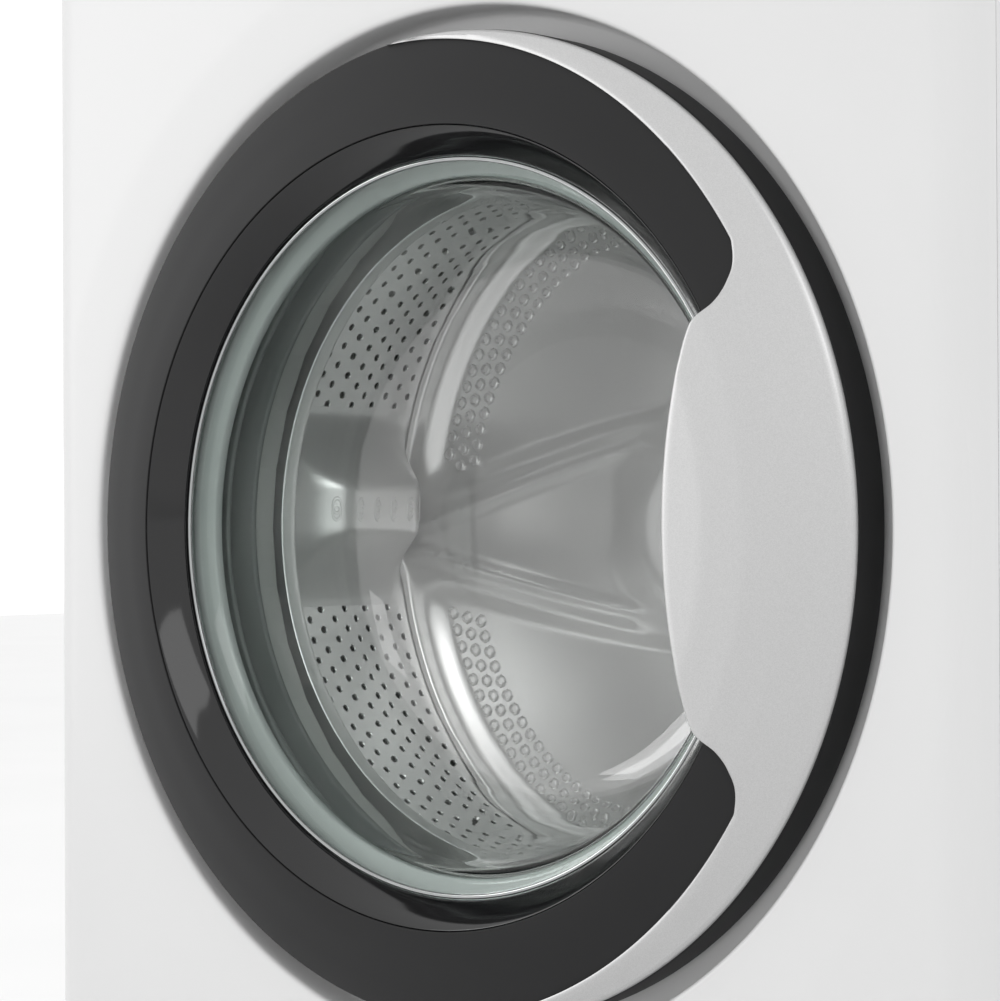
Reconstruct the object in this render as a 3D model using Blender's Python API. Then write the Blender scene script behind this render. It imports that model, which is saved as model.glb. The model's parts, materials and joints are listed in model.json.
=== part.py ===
"""Front loading washing machine, built as separate solids.

Metres, +Z up. The front faces -Y and +X is to the right of someone facing it. The sizes below are
drawn with the front panel at PANEL_Y, and one empty then moves the whole machine by MID_SHIFT, so
that the origin lies on the floor under the middle of its box.
"""
import math

import bmesh
import bpy
from mathutils import Matrix, Vector

# ---------------------------------------------------------------- driving dimensions
WIDTH = 0.596
HEIGHT = 0.850
HALF = WIDTH / 2
PANEL_Y = -0.275          # outer face of the front panel
FRAME_Y = -0.250          # back edge of the front panel, fascia and plinth
BACK_Y = 0.096            # outer face of the rear panel
MID_SHIFT = 0.085         # from the drawing's zero to the middle of the machine's box
CORNER = 0.020            # radius of the cabinet's upright front edges
SHEET = 0.0015            # sheet steel
SKIN = 0.0025             # moulded plastic
GAP = 0.0003              # clearance between pieces that touch

BASE_Z = 0.018            # underside of the base tray
PLINTH_TOP = 0.100
FRONT_LOW, FRONT_TOP = 0.102, 0.716
FASCIA_LOW, FASCIA_TOP = 0.718, 0.822
TOP_LOW = 0.824

AXIS_Z = 0.415            # height of the door's and the drum's centre
DOOR_R = 0.245            # outer radius of the door
RECESS_R = 0.2575         # round recess in the front panel that the door lies in
RECESS_FLOOR = -0.252     # front face of the recess floor
MOUTH_R = 0.200           # loading mouth in the recess floor
CREST_R = 0.197           # highest line of the door's ring
CREST_Y = PANEL_Y - 0.019
EDGE_Y = PANEL_Y - 0.0035 # front edge of the door's side wall
DOOR_BACK = -0.2575
HINGE_X, HINGE_Y = -0.240, -0.273
HINGE_NOTCH = 0.042       # half height of the notch around the hinge
PIN_R = 0.0022

DRUM_R = 0.240            # inside of the drum
DRUM_LIP_R = 0.178
DRUM_FRONT, DRUM_BACK = -0.200, -0.032
LIFTERS = 3
LIFTER_PHASE = math.radians(57)
TUB_R = 0.258             # inside of the tub
TUB_WALL = 0.004
TUB_SPLIT = -0.110        # joint plane of the two tub halves
TUB_FRONT, TUB_BACK = -0.209, 0.002
NECK_R = 0.1925
NECK_Y = -0.222

PULLEY_R, MOTOR_PULLEY_R = 0.130, 0.0095
BELT_Y = (0.0505, 0.0685)
MOTOR_X, MOTOR_Z, MOTOR_R = 0.060, 0.092, 0.055
MOTOR_Y = (-0.110, 0.020)
SHAFT_R = 0.0125

DAMPER_X, DAMPER_Y = 0.190, -0.060
SPRING_X, SPRING_Y = 0.250, -0.020
FILTER_X, FILTER_Z = 0.206, 0.062
SUMP_X, SUMP_Y = 0.185, -0.170
VALVE_X, VALVE_Z = -0.220, 0.775
GLAND_X, GLAND_Z = 0.200, 0.700
FOOT_X, FOOT_YS = 0.255, (-0.215, 0.055)

DRAWER_X = (-0.286, -0.120)
DRAWER_Z = (0.7245, 0.8155)
TRAY_END, HOUSING_END = -0.070, -0.045
KNOB_X, PANEL_MID_Z = -0.020, 0.771
KNOB_R = 0.0265
DISPLAY_X, DISPLAY_Z = (0.060, 0.180), (0.752, 0.796)
OPTION_XS, OPTION_Z = (0.090, 0.150), 0.736
ROUND_BUTTONS = {"power_button": (0.214, 0.009), "start_button": (0.254, 0.0115)}

ROUND = 36                # facets of the big turned pieces
SMALL = 16                # facets of the small ones

COLOURS = {               # base colour, roughness, metallic
    "cabinet_white": ((0.80, 0.80, 0.80), 0.35, 0.0),
    "fascia_white": ((0.78, 0.78, 0.78), 0.40, 0.0),
    "door_grey": ((0.065, 0.065, 0.068), 0.45, 0.0),
    "frame_grey": ((0.37, 0.40, 0.39), 0.45, 0.0),
    "bezel_black": ((0.02, 0.02, 0.022), 0.10, 0.0),
    "handle_silver": ((0.62, 0.62, 0.62), 0.38, 0.6),
    "bright_trim": ((0.80, 0.81, 0.80), 0.12, 1.0),
    "bowl_glass": ((0.75, 0.85, 0.80), 0.03, 0.0),
    "drum_steel": ((0.62, 0.62, 0.62), 0.22, 1.0),
    "cast_metal": ((0.45, 0.45, 0.46), 0.50, 1.0),
    "zinc_steel": ((0.55, 0.56, 0.57), 0.40, 1.0),
    "grey_rubber": ((0.24, 0.25, 0.25), 0.70, 0.0),
    "black_rubber": ((0.03, 0.03, 0.03), 0.75, 0.0),
    "tub_plastic": ((0.55, 0.56, 0.55), 0.60, 0.0),
    "dark_plastic": ((0.05, 0.05, 0.055), 0.50, 0.0),
    "display_glass": ((0.01, 0.01, 0.012), 0.06, 0.0),
    "concrete": ((0.50, 0.49, 0.47), 0.90, 0.0),
}


# ---------------------------------------------------------------- helpers
def clear_scene():
    for item in list(bpy.data.objects):
        bpy.data.objects.remove(item)


def finish(name):
    """The material of that name, made on first use."""
    found = bpy.data.materials.get(name)
    if found:
        return found
    colour, roughness, metallic = COLOURS[name]
    made = bpy.data.materials.new(name)
    made.use_nodes = True
    shader = made.node_tree.nodes["Principled BSDF"]
    shader.inputs["Base Color"].default_value = (*colour, 1)
    shader.inputs["Roughness"].default_value = roughness
    shader.inputs["Metallic"].default_value = metallic
    made.diffuse_color = (*colour, 1)
    return made


def place(name, bm, material):
    """A new object from a bmesh, its faces turned outwards."""
    bmesh.ops.recalc_face_normals(bm, faces=bm.faces)
    mesh = bpy.data.meshes.new(name)
    bm.to_mesh(mesh)
    bm.free()
    mesh.shade_smooth()
    mesh.set_sharp_from_angle(angle=math.radians(35))
    made = bpy.data.objects.new(name, mesh)
    made.data.materials.append(finish(material))
    bpy.context.collection.objects.link(made)
    return made


def block(name, low, high, material="zinc_steel"):
    """A box between two corners."""
    low, high = Vector(low), Vector(high)
    bm = bmesh.new()
    bmesh.ops.create_cube(bm, size=1, matrix=Matrix.Translation((low + high) / 2)
                          @ Matrix.Diagonal((*(high - low), 1)))
    return place(name, bm, material)


def prism(name, outline, start, end, axis="Z", material="zinc_steel"):
    """An outline drawn in the plane across the axis, carried from start to end along it."""
    bm = bmesh.new()
    if axis == "Z":
        corners = [bm.verts.new((a, b, start)) for a, b in outline]
        along = Vector((0, 0, end - start))
    else:
        corners = [bm.verts.new((a, start, b)) for a, b in outline]
        along = Vector((0, end - start, 0))
    face = bm.faces.new(corners)
    moved = bmesh.ops.extrude_face_region(bm, geom=[face])["geom"]
    bmesh.ops.translate(bm, verts=[v for v in moved if isinstance(v, bmesh.types.BMVert)], vec=along)
    return place(name, bm, material)


def turned(name, profile, centre, axis="Y", segments=ROUND, material="zinc_steel"):
    """A profile of (radius, place along the axis) spun about the axis through the centre."""
    bm = bmesh.new()
    if axis == "Y":
        spin_axis, points = (0, 1, 0), [(r, t, 0) for r, t in profile]
        centre = Vector((centre[0], 0, centre[1]))
    else:
        spin_axis, points = (0, 0, 1), [(r, 0, t) for r, t in profile]
        centre = Vector((centre[0], centre[1], 0))
    corners = [bm.verts.new(Vector(p) + centre) for p in points]
    closed = zip(corners, corners[1:] + corners[:1], profile, profile[1:] + profile[:1])
    edges = [bm.edges.new((a, b)) for a, b, p, q in closed if p[0] > 0 or q[0] > 0]
    bmesh.ops.spin(bm, geom=corners + edges, cent=centre, axis=spin_axis,
                   angle=2 * math.pi, steps=segments, use_merge=True)
    bmesh.ops.remove_doubles(bm, verts=bm.verts, dist=1e-6)
    return place(name, bm, material)


def rod(name, centre, radius, start, end, axis="Y", segments=SMALL, material="zinc_steel"):
    """A round bar."""
    return turned(name, [(0, start), (radius, start), (radius, end), (0, end)],
                  centre, axis, segments, material)


def combine(target, tool, operation):
    modifier = target.modifiers.new(tool.name, "BOOLEAN")
    modifier.operation = operation
    modifier.object = tool
    modifier.solver = "EXACT"
    tool.hide_render = True
    tool.display_type = "WIRE"
    return target


def cut(target, *tools):
    """Takes each tool's shape out of the target."""
    for tool in tools:
        combine(target, tool, "DIFFERENCE")
    return target


def add(target, *tools):
    """Joins each tool's shape onto the target."""
    for tool in tools:
        combine(target, tool, "UNION")
    return target


def pivot(name, place_at, *pieces):
    """An empty on a joint's axis that carries the pieces that move with it."""
    empty = bpy.data.objects.new(name, None)
    empty.location = place_at
    empty.empty_display_size = 0.03
    bpy.context.collection.objects.link(empty)
    for piece in pieces:
        piece.parent = empty
        piece.matrix_parent_inverse = Matrix.Translation(place_at).inverted()


def arc(centre, radius, first, last, steps):
    """Points along an arc, angles in degrees."""
    for i in range(steps + 1):
        angle = math.radians(first + (last - first) * i / steps)
        yield centre[0] + radius * math.cos(angle), centre[1] + radius * math.sin(angle)


def front_outline(half, front, back, radius):
    """Plan of a front piece: flat face, two rounded upright edges, square at the back."""
    return [(-half, back), *arc((-half + radius, front + radius), radius, 180, 270, 6),
            *arc((half - radius, front + radius), radius, 270, 360, 6), (half, back)]


# ---------------------------------------------------------------- cabinet
def side_panel(name, side):
    """Sheet with folded front and rear flanges and a bracket for the suspension spring."""
    flange = 0.012
    front, back = FRAME_Y + 0.0005, BACK_Y - SHEET - 0.0005
    plan = [(HALF, front), (HALF, back), (HALF - flange, back), (HALF - flange, back - SHEET),
            (HALF - SHEET, back - SHEET), (HALF - SHEET, front + SHEET),
            (HALF - flange, front + SHEET), (HALF - flange, front)]
    panel = prism(name, [(side * x, y) for x, y in plan], BASE_Z + 0.002, FASCIA_TOP,
                  material="cabinet_white")
    xs = sorted((side * (SPRING_X - 0.013), side * (HALF - SHEET / 2)))
    bracket = block(name + "_bracket", (xs[0], SPRING_Y - 0.016, 0.792),
                    (xs[1], SPRING_Y + 0.016, 0.795))
    return add(panel, bracket)


def cabinet():
    side_panel("left_side_panel", -1)
    side_panel("right_side_panel", 1)

    tray = block("base_tray", (-0.294, -0.246, BASE_Z), (0.294, BACK_Y - 0.004, 0.060), "zinc_steel")
    cut(tray, block("tray_pocket", (-0.291, -0.243, BASE_Z + 0.003), (0.291, BACK_Y - 0.007, 0.080)),
        block("tray_filter_gap", (FILTER_X - 0.031, -0.250, 0.030), (FILTER_X + 0.031, -0.240, 0.080)))

    rear = block("rear_panel", (-HALF + 0.0005, BACK_Y - SHEET, BASE_Z + 0.002),
                 (HALF - 0.0005, BACK_Y, FASCIA_TOP), "cabinet_white")
    through = (BACK_Y - 0.015, BACK_Y + 0.015)
    cut(rear, rod("rear_hole", (0, AXIS_Z), 0.185, *through, segments=ROUND),
        rod("valve_hole", (VALVE_X, VALVE_Z), 0.016, *through),
        rod("gland_hole", (GLAND_X, GLAND_Z), 0.010, *through))
    proud, edge = BACK_Y + 0.023, BACK_Y + 0.0018
    turned("rear_cover", [(0, proud), (0.158, proud), (0.178, edge), (0.200, edge), (0.200, BACK_Y + GAP),
                          (0.1765, BACK_Y + GAP), (0.1565, proud - SHEET), (0, proud - SHEET)],
           (0, AXIS_Z), material="cabinet_white", segments=32)

    top = prism("top_panel", front_outline(HALF, PANEL_Y, BACK_Y + 0.004, CORNER), TOP_LOW, HEIGHT,
                material="cabinet_white")
    cut(top, block("top_pocket", (-HALF + 0.022, PANEL_Y + 0.022, TOP_LOW - 0.01),
                   (HALF - 0.022, BACK_Y - 0.018, HEIGHT - 0.004)))


def front_panel():
    """Pressed panel with a round recess for the door, its mouth and the slot for the lock."""
    panel = prism("front_panel", front_outline(HALF, PANEL_Y, FRAME_Y, CORNER), FRONT_LOW, FRONT_TOP,
                  material="cabinet_white")
    wall = 0.002
    hollow = prism("panel_hollow", front_outline(HALF - wall, PANEL_Y + wall, FRAME_Y + 0.01, CORNER - wall),
                   FRONT_LOW - 0.01, FRONT_TOP + 0.01)
    cut(hollow, rod("recess_outside", (0, AXIS_Z), RECESS_R + wall, -0.30, -0.20, segments=ROUND))
    cut(panel, block("lock_slot", (0.2150, -0.30, AXIS_Z - 0.0225), (0.2365, -0.24, AXIS_Z + 0.0225)),
        hollow,
        rod("recess_inside", (0, AXIS_Z), RECESS_R, -0.31, RECESS_FLOOR, segments=ROUND),
        rod("mouth", (0, AXIS_Z), MOUTH_R, -0.32, -0.20, segments=ROUND))

    lock = block("door_lock", (0.2125, FRAME_Y + 0.0005, AXIS_Z - 0.040), (0.240, -0.2225, AXIS_Z + 0.040),
                 "dark_plastic")
    cut(lock, block("lock_mouth", (0.2150, -0.26, AXIS_Z - 0.0225), (0.2365, -0.226, AXIS_Z + 0.0225)))


def plinth():
    plate = prism("plinth_panel", front_outline(0.296, PANEL_Y + 0.005, FRAME_Y, 0.018),
                  0.022, PLINTH_TOP, material="fascia_white")
    cut(plate, prism("plinth_hollow", front_outline(0.293, PANEL_Y + 0.008, FRAME_Y + 0.01, 0.015),
                     0.025, PLINTH_TOP - 0.003),
        block("flap_hole", (0.150, -0.28, 0.032), (0.262, -0.26, 0.092)))
    flap = block("filter_flap", (0.1505, -0.2705, 0.0325), (0.2615, -0.2680, 0.0915), "fascia_white")
    pivot("flap_axis", (0.2585, -0.2705, 0.062), flap)


def feet():
    """Four rubber footed studs through the base tray."""
    profile = [(0, 0), (0.021, 0), (0.022, 0.002), (0.022, 0.009), (0.014, 0.0140),
               (0.005, 0.0145), (0.005, 0.045), (0, 0.045)]
    tray = bpy.data.objects["base_tray"]
    for side_name, x in (("left", -FOOT_X), ("right", FOOT_X)):
        for end_name, y in zip(("front", "rear"), FOOT_YS):
            name = f"foot_{end_name}_{side_name}"
            pivot(name + "_axis", (x, y, 0), turned(name, profile, (x, y), "Z", SMALL, "black_rubber"))
            cut(tray, rod(name + "_hole", (x, y), 0.0058, 0.0, 0.030, "Z"))


# ---------------------------------------------------------------- control panel and drawer
def control_panel():
    fascia = prism("control_fascia", front_outline(HALF, PANEL_Y, FRAME_Y, CORNER), FASCIA_LOW, FASCIA_TOP,
                   material="fascia_white")
    wall = 0.003
    cut(fascia, prism("fascia_hollow", front_outline(HALF - wall, PANEL_Y + wall, FRAME_Y + 0.01,
                                                     CORNER - wall),
                      FASCIA_LOW + wall, FASCIA_TOP - wall),
        block("drawer_hole", (DRAWER_X[0] - 0.0005, -0.28, DRAWER_Z[0] - 0.0005),
              (DRAWER_X[1] + 0.0005, -0.26, DRAWER_Z[1] + 0.0005)),
        block("display_hole", (DISPLAY_X[0] - GAP, -0.28, DISPLAY_Z[0] - GAP),
              (DISPLAY_X[1] + GAP, -0.26, DISPLAY_Z[1] + GAP)),
        rod("knob_hole", (KNOB_X, PANEL_MID_Z), 0.0048, -0.28, -0.26))
    block("display_window", (DISPLAY_X[0], PANEL_Y - 0.0006, DISPLAY_Z[0]),
          (DISPLAY_X[1], PANEL_Y + 0.0030, DISPLAY_Z[1]), "display_glass")

    knob = turned("programme_knob", [(0, -0.2975), (KNOB_R - 0.003, -0.2975), (KNOB_R - 0.001, -0.2960),
                                     (KNOB_R, -0.2780), (KNOB_R, -0.2755), (0.0040, -0.2755),
                                     (0.0040, -0.2550), (0, -0.2550)],
                  (KNOB_X, PANEL_MID_Z), segments=32, material="handle_silver")
    pivot("knob_axis", (KNOB_X, -0.2755, PANEL_MID_Z), knob)

    for number, x in enumerate(OPTION_XS, 1):
        name = f"option_button_{number}"
        half_width, half_height = 0.012, 0.0045
        button = block(name, (x - half_width, PANEL_Y - 0.0012, OPTION_Z - half_height),
                       (x + half_width, PANEL_Y + 0.0090, OPTION_Z + half_height), "handle_silver")
        pivot(name + "_slide", (x, PANEL_Y, OPTION_Z), button)
        cut(fascia, block(name + "_hole", (x - half_width - GAP, -0.28, OPTION_Z - half_height - GAP),
                          (x + half_width + GAP, -0.26, OPTION_Z + half_height + GAP)))
    for name, (x, radius) in ROUND_BUTTONS.items():
        button = turned(name, [(0, PANEL_Y - 0.0016), (radius - 0.0008, PANEL_Y - 0.0016),
                               (radius, PANEL_Y - 0.0008), (radius, PANEL_Y + 0.0090),
                               (0, PANEL_Y + 0.0090)],
                        (x, PANEL_MID_Z), segments=SMALL, material="handle_silver")
        pivot(name + "_slide", (x, PANEL_Y, PANEL_MID_Z), button)
        cut(fascia, rod(name + "_hole", (x, PANEL_MID_Z), radius + 0.0005, -0.28, -0.26))


def detergent_drawer():
    front_y = -0.2618
    front = block("drawer_front", (DRAWER_X[0], PANEL_Y, DRAWER_Z[0]), (DRAWER_X[1], front_y, DRAWER_Z[1]),
                  "fascia_white")
    cut(front, block("drawer_grip", (DRAWER_X[0] + 0.025, -0.268, DRAWER_Z[0] - 0.01),
                     (DRAWER_X[1] - 0.025, -0.2645, DRAWER_Z[0] + 0.022)))
    tray = block("drawer_tray", (-0.270, front_y + GAP, 0.735), (-0.136, TRAY_END, 0.803), "tub_plastic")
    for number, (left, right) in enumerate(((-0.2675, -0.2150), (-0.2130, -0.1830), (-0.1810, -0.1385))):
        cut(tray, block(f"tray_compartment_{number}", (left, -0.2590, 0.738), (right, TRAY_END - 0.0025, 0.82)))
    pivot("drawer_slide", (-0.203, PANEL_Y, 0.770), front, tray)

    housing = block("dispenser_housing", (-0.276, FRAME_Y + 0.0005, 0.729), (-0.130, HOUSING_END, 0.811),
                    "tub_plastic")
    cut(housing, block("housing_bore", (-0.2735, -0.27, 0.7315), (-0.1325, HOUSING_END - 0.003, 0.8085)))


# ---------------------------------------------------------------- door
def plate_outline():
    """The silver plate seen from the front: a crescent along the right half of the ring, which
    widens between two scoops into the grip. Drawn for the upper half and mirrored below."""
    horn_end, horn_start = 98, 35                   # the crescent's inner edge, degrees from +X
    inner_r, inner_x = 0.2422, -0.0212              # that edge is an arc with its centre off the axis
    outer = list(arc((0, 0), DOOR_R - 0.0004, 0, horn_end, 24))
    horn = []
    for step in range(13):
        angle = math.radians(horn_end - 2 - (horn_end - 2 - horn_start) * step / 12)
        reach = inner_x * math.cos(angle) + math.sqrt(inner_r ** 2 - (inner_x * math.sin(angle)) ** 2)
        horn.append((reach * math.cos(angle), reach * math.sin(angle)))
    scoop = [(0.1855, 0.1215), (0.1855, 0.1150), (0.1825, 0.1065), (0.1775, 0.1000), (0.1715, 0.0960)]
    tip = [(0.1670, 0.0910)]
    grip_r, grip_x = 0.305, 0.152
    half_angle = math.degrees(math.asin(0.085 / grip_r))
    grip = list(arc((grip_x + grip_r, 0), grip_r, 180 - half_angle, 180, 6))
    upper = outer + horn + scoop + tip + grip
    lower = [(x, -z) for x, z in reversed(upper)]
    return [(x, z + AXIS_Z) for x, z in upper[:-1] + lower[:-1]]


def door():
    centre = (0, AXIS_Z)
    notch = block("hinge_notch", (-0.260, -0.2778, AXIS_Z - HINGE_NOTCH),
                  (-0.226, -0.24, AXIS_Z + HINGE_NOTCH))
    pocket = block("finger_pocket", (0.150, -0.32, AXIS_Z - 0.075), (0.215, -0.2612, AXIS_Z + 0.075))

    ring = turned("door_outer_ring", [(CREST_R + 0.0001, CREST_Y), (0.222, -0.2873), (0.2435, EDGE_Y - 0.0012),
                                      (DOOR_R, EDGE_Y), (DOOR_R, DOOR_BACK), (DOOR_R - SKIN, DOOR_BACK),
                                      (DOOR_R - SKIN, -0.2765), (0.221, -0.2842),
                                      (CREST_R + 0.0001, -0.2900)],
                  centre, material="door_grey")
    cut(ring, notch, pocket)
    bezel = turned("door_bezel", [(CREST_R - GAP, CREST_Y + 0.0003), (0.1835, -0.2790), (0.1835, -0.2750),
                                  (0.1865, -0.2750), (CREST_R - GAP, -0.2885)],
                   centre, material="bezel_black")
    cut(bezel, pocket)
    trim = turned("glass_trim_ring", [(0.1805, -0.2775), (0.1831, -0.2775), (0.1831, -0.2745),
                                      (0.1805, -0.2745)], centre, material="bright_trim")
    bowl = turned("door_bowl", [(0.187, -0.268), (0.176, -0.264), (0.172, -0.250), (0.168, -0.215),
                                (0.163, -0.188), (0.152, -0.169), (0.134, -0.158), (0.105, -0.153),
                                (0, -0.151), (0, -0.156), (0.104, -0.158), (0.131, -0.1628),
                                (0.1475, -0.1728), (0.158, -0.190), (0.163, -0.217), (0.1665, -0.250),
                                (0.171, -0.266), (0.180, -0.2742), (0.187, -0.2742)],
                  centre, material="bowl_glass")
    frame = turned("door_inner_frame", [(DOOR_R - 0.0032, -0.2600), (DOOR_R - 0.0032, DOOR_BACK),
                                        (0.1765, DOOR_BACK), (0.1765, -0.2630), (0.1845, -0.2665),
                                        (0.1885, -0.2665), (0.1885, -0.2600)],
                   centre, material="frame_grey")
    cut(frame, notch, block("hook_slot", (0.2125, -0.27, AXIS_Z - 0.009), (0.2305, -0.25, AXIS_Z + 0.009)))

    shell = turned("handle_plate", [(DOOR_R, EDGE_Y - 0.0016), (0.2435, -0.2817), (0.231, -0.2868),
                                    (0.215, -0.2925), (CREST_R, -0.2970), (0.175, -0.2994),
                                    (0.150, -0.3000), (0.150, -0.2974), (0.175, -0.2968),
                                    (CREST_R, -0.2944), (0.222, -0.2878), (0.2437, -0.2803),
                                    (DOOR_R, -0.2791)],
                   centre, material="handle_silver")
    plan = prism("plate_plan", plate_outline(), -0.32, -0.26, axis="Y")
    combine(shell, plan, "INTERSECT")

    knuckle_r = 0.0038
    arm = prism("hinge_arm", [*arc((HINGE_X, HINGE_Y), knuckle_r, 90, 270, 8),
                              (-0.208, HINGE_Y - knuckle_r), (-0.208, -0.2603), (-0.2255, -0.2603),
                              (-0.2255, HINGE_Y + knuckle_r)],
                AXIS_Z - 0.0217, AXIS_Z + 0.0217, material="zinc_steel")
    cut(arm, rod("knuckle_bore", (HINGE_X, HINGE_Y), PIN_R + 0.0001, AXIS_Z - 0.03, AXIS_Z + 0.03, "Z", 16))
    pivot("door_axis", (HINGE_X, HINGE_Y, AXIS_Z), ring, bezel, trim, bowl, frame, shell, arm)

    hook_x, hook_y = 0.2235, -0.2660
    hook = prism("latch_hook", [(hook_x - 0.0035, hook_y - 0.004), (hook_x + 0.0035, hook_y - 0.004),
                                (hook_x + 0.0025, -0.2420), (hook_x + 0.0065, -0.2405),
                                (hook_x + 0.0020, -0.2330), (hook_x - 0.0025, -0.2330)],
                 AXIS_Z - 0.006, AXIS_Z + 0.006, material="zinc_steel")
    pivot("latch_axis", (hook_x, hook_y, AXIS_Z), hook)


def hinge():
    """Bracket on the recess floor with two ears, and the pin that the door's arm turns on."""
    bracket = block("hinge_bracket", (-0.250, -0.2545, AXIS_Z - 0.032),
                    (-0.216, RECESS_FLOOR - GAP, AXIS_Z + 0.032), "zinc_steel")
    ear_plan = [*arc((HINGE_X, HINGE_Y), 0.0042, 97, 352, 10), (-0.2345, -0.2540), (-0.2405, -0.2540)]
    for side, (low, high) in enumerate(((-0.0280, -0.0220), (0.0220, 0.0280))):
        add(bracket, prism(f"hinge_ear_{side}", ear_plan, AXIS_Z + low, AXIS_Z + high))
    cut(bracket, rod("ear_bore", (HINGE_X, HINGE_Y), PIN_R + GAP, AXIS_Z - 0.04, AXIS_Z + 0.04, "Z", 16))
    rod("hinge_pin", (HINGE_X, HINGE_Y), PIN_R, AXIS_Z - 0.0285, AXIS_Z + 0.0285, "Z", 16, "zinc_steel")


def gasket():
    """Bellows between the mouth of the front panel and the neck of the tub."""
    turned("door_gasket", [(0.1990, -0.2560), (0.1990, -0.2475), (0.2100, -0.2450), (0.2100, -0.2330),
                           (0.1985, -0.2290), (0.1985, -0.2100), (0.1952, -0.2100), (0.1952, -0.2262),
                           (0.1830, -0.2262), (0.1830, -0.2292), (0.2065, -0.2360), (0.2065, -0.2428),
                           (0.1800, -0.2480), (0.1800, -0.2510), (0.1958, -0.2500), (0.1958, -0.2560)],
           (0, AXIS_Z), material="grey_rubber")


# ---------------------------------------------------------------- tub, drum and drive
def tub():
    centre = (0, AXIS_Z)
    outside, flange = TUB_R + TUB_WALL, TUB_R + 0.012
    front = turned("tub_front", [(NECK_R + 0.002, NECK_Y), (NECK_R + 0.002, TUB_FRONT), (outside, TUB_FRONT),
                                 (outside, TUB_SPLIT - 0.005), (flange, TUB_SPLIT - 0.005),
                                 (flange, TUB_SPLIT), (TUB_R, TUB_SPLIT), (TUB_R, TUB_FRONT + TUB_WALL),
                                 (NECK_R, TUB_FRONT + TUB_WALL), (NECK_R, NECK_Y)],
                   centre, material="tub_plastic")
    add(front, rod("sump_spigot", (SUMP_X, SUMP_Y), 0.014, 0.200, 0.232, "Z"))
    split = TUB_SPLIT + GAP
    hub = (TUB_BACK - 0.012, TUB_BACK + 0.033)
    rear = turned("tub_rear", [(flange, split), (flange, split + 0.005), (outside, split + 0.005),
                               (outside, TUB_BACK + 0.005), (0.055, TUB_BACK + 0.010), (0.048, hub[1]),
                               (0.0265, hub[1]), (0.0265, hub[0]), (0.040, hub[0]), (0.052, TUB_BACK),
                               (TUB_R, TUB_BACK), (TUB_R, split)],
                  centre, material="tub_plastic")
    for side in (-1, 1):
        xs = sorted((side * 0.2345, side * 0.262))
        add(rear, block(f"spring_ear_{side}", (xs[0], SPRING_Y - 0.015, AXIS_Z + 0.112),
                        (xs[1], SPRING_Y + 0.015, AXIS_Z + 0.160)))

    weight = [*arc(centre, 0.300, 62, 118, 12), *arc(centre, outside + 0.0015, 118, 62, 12)]
    prism("counterweight", weight, TUB_FRONT + 0.008, TUB_SPLIT - 0.009, "Y", "concrete")
    seat = (TUB_BACK - 0.0015, hub[1] - 0.0005)
    turned("bearing_set", [(SHAFT_R + 0.0001, seat[0]), (0.0262, seat[0]), (0.0262, seat[1]),
                           (SHAFT_R + 0.0001, seat[1])], centre, segments=32, material="zinc_steel")

    for side_name, side in (("left", -1), ("right", 1)):
        at = (side * DAMPER_X, DAMPER_Y)
        turned(f"damper_rod_{side_name}", [(0, 0.100), (0.010, 0.100), (0.010, 0.205), (0.014, 0.207),
                                           (0.014, 0.2195), (0, 0.2195)], at, "Z", SMALL, "zinc_steel")
        turned(f"damper_cylinder_{side_name}", [(0, BASE_Z + 0.0033), (0.016, BASE_Z + 0.0033), (0.016, 0.150),
                                                (0.0108, 0.150), (0.0108, 0.030), (0, 0.030)],
               at, "Z", SMALL, "dark_plastic")
        turned(f"suspension_spring_{side_name}", [(0.0080, AXIS_Z + 0.1603), (0.0110, AXIS_Z + 0.1603),
                                                  (0.0110, 0.7917), (0.0080, 0.7917)],
               (side * SPRING_X, SPRING_Y), "Z", 16, "zinc_steel")


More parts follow.
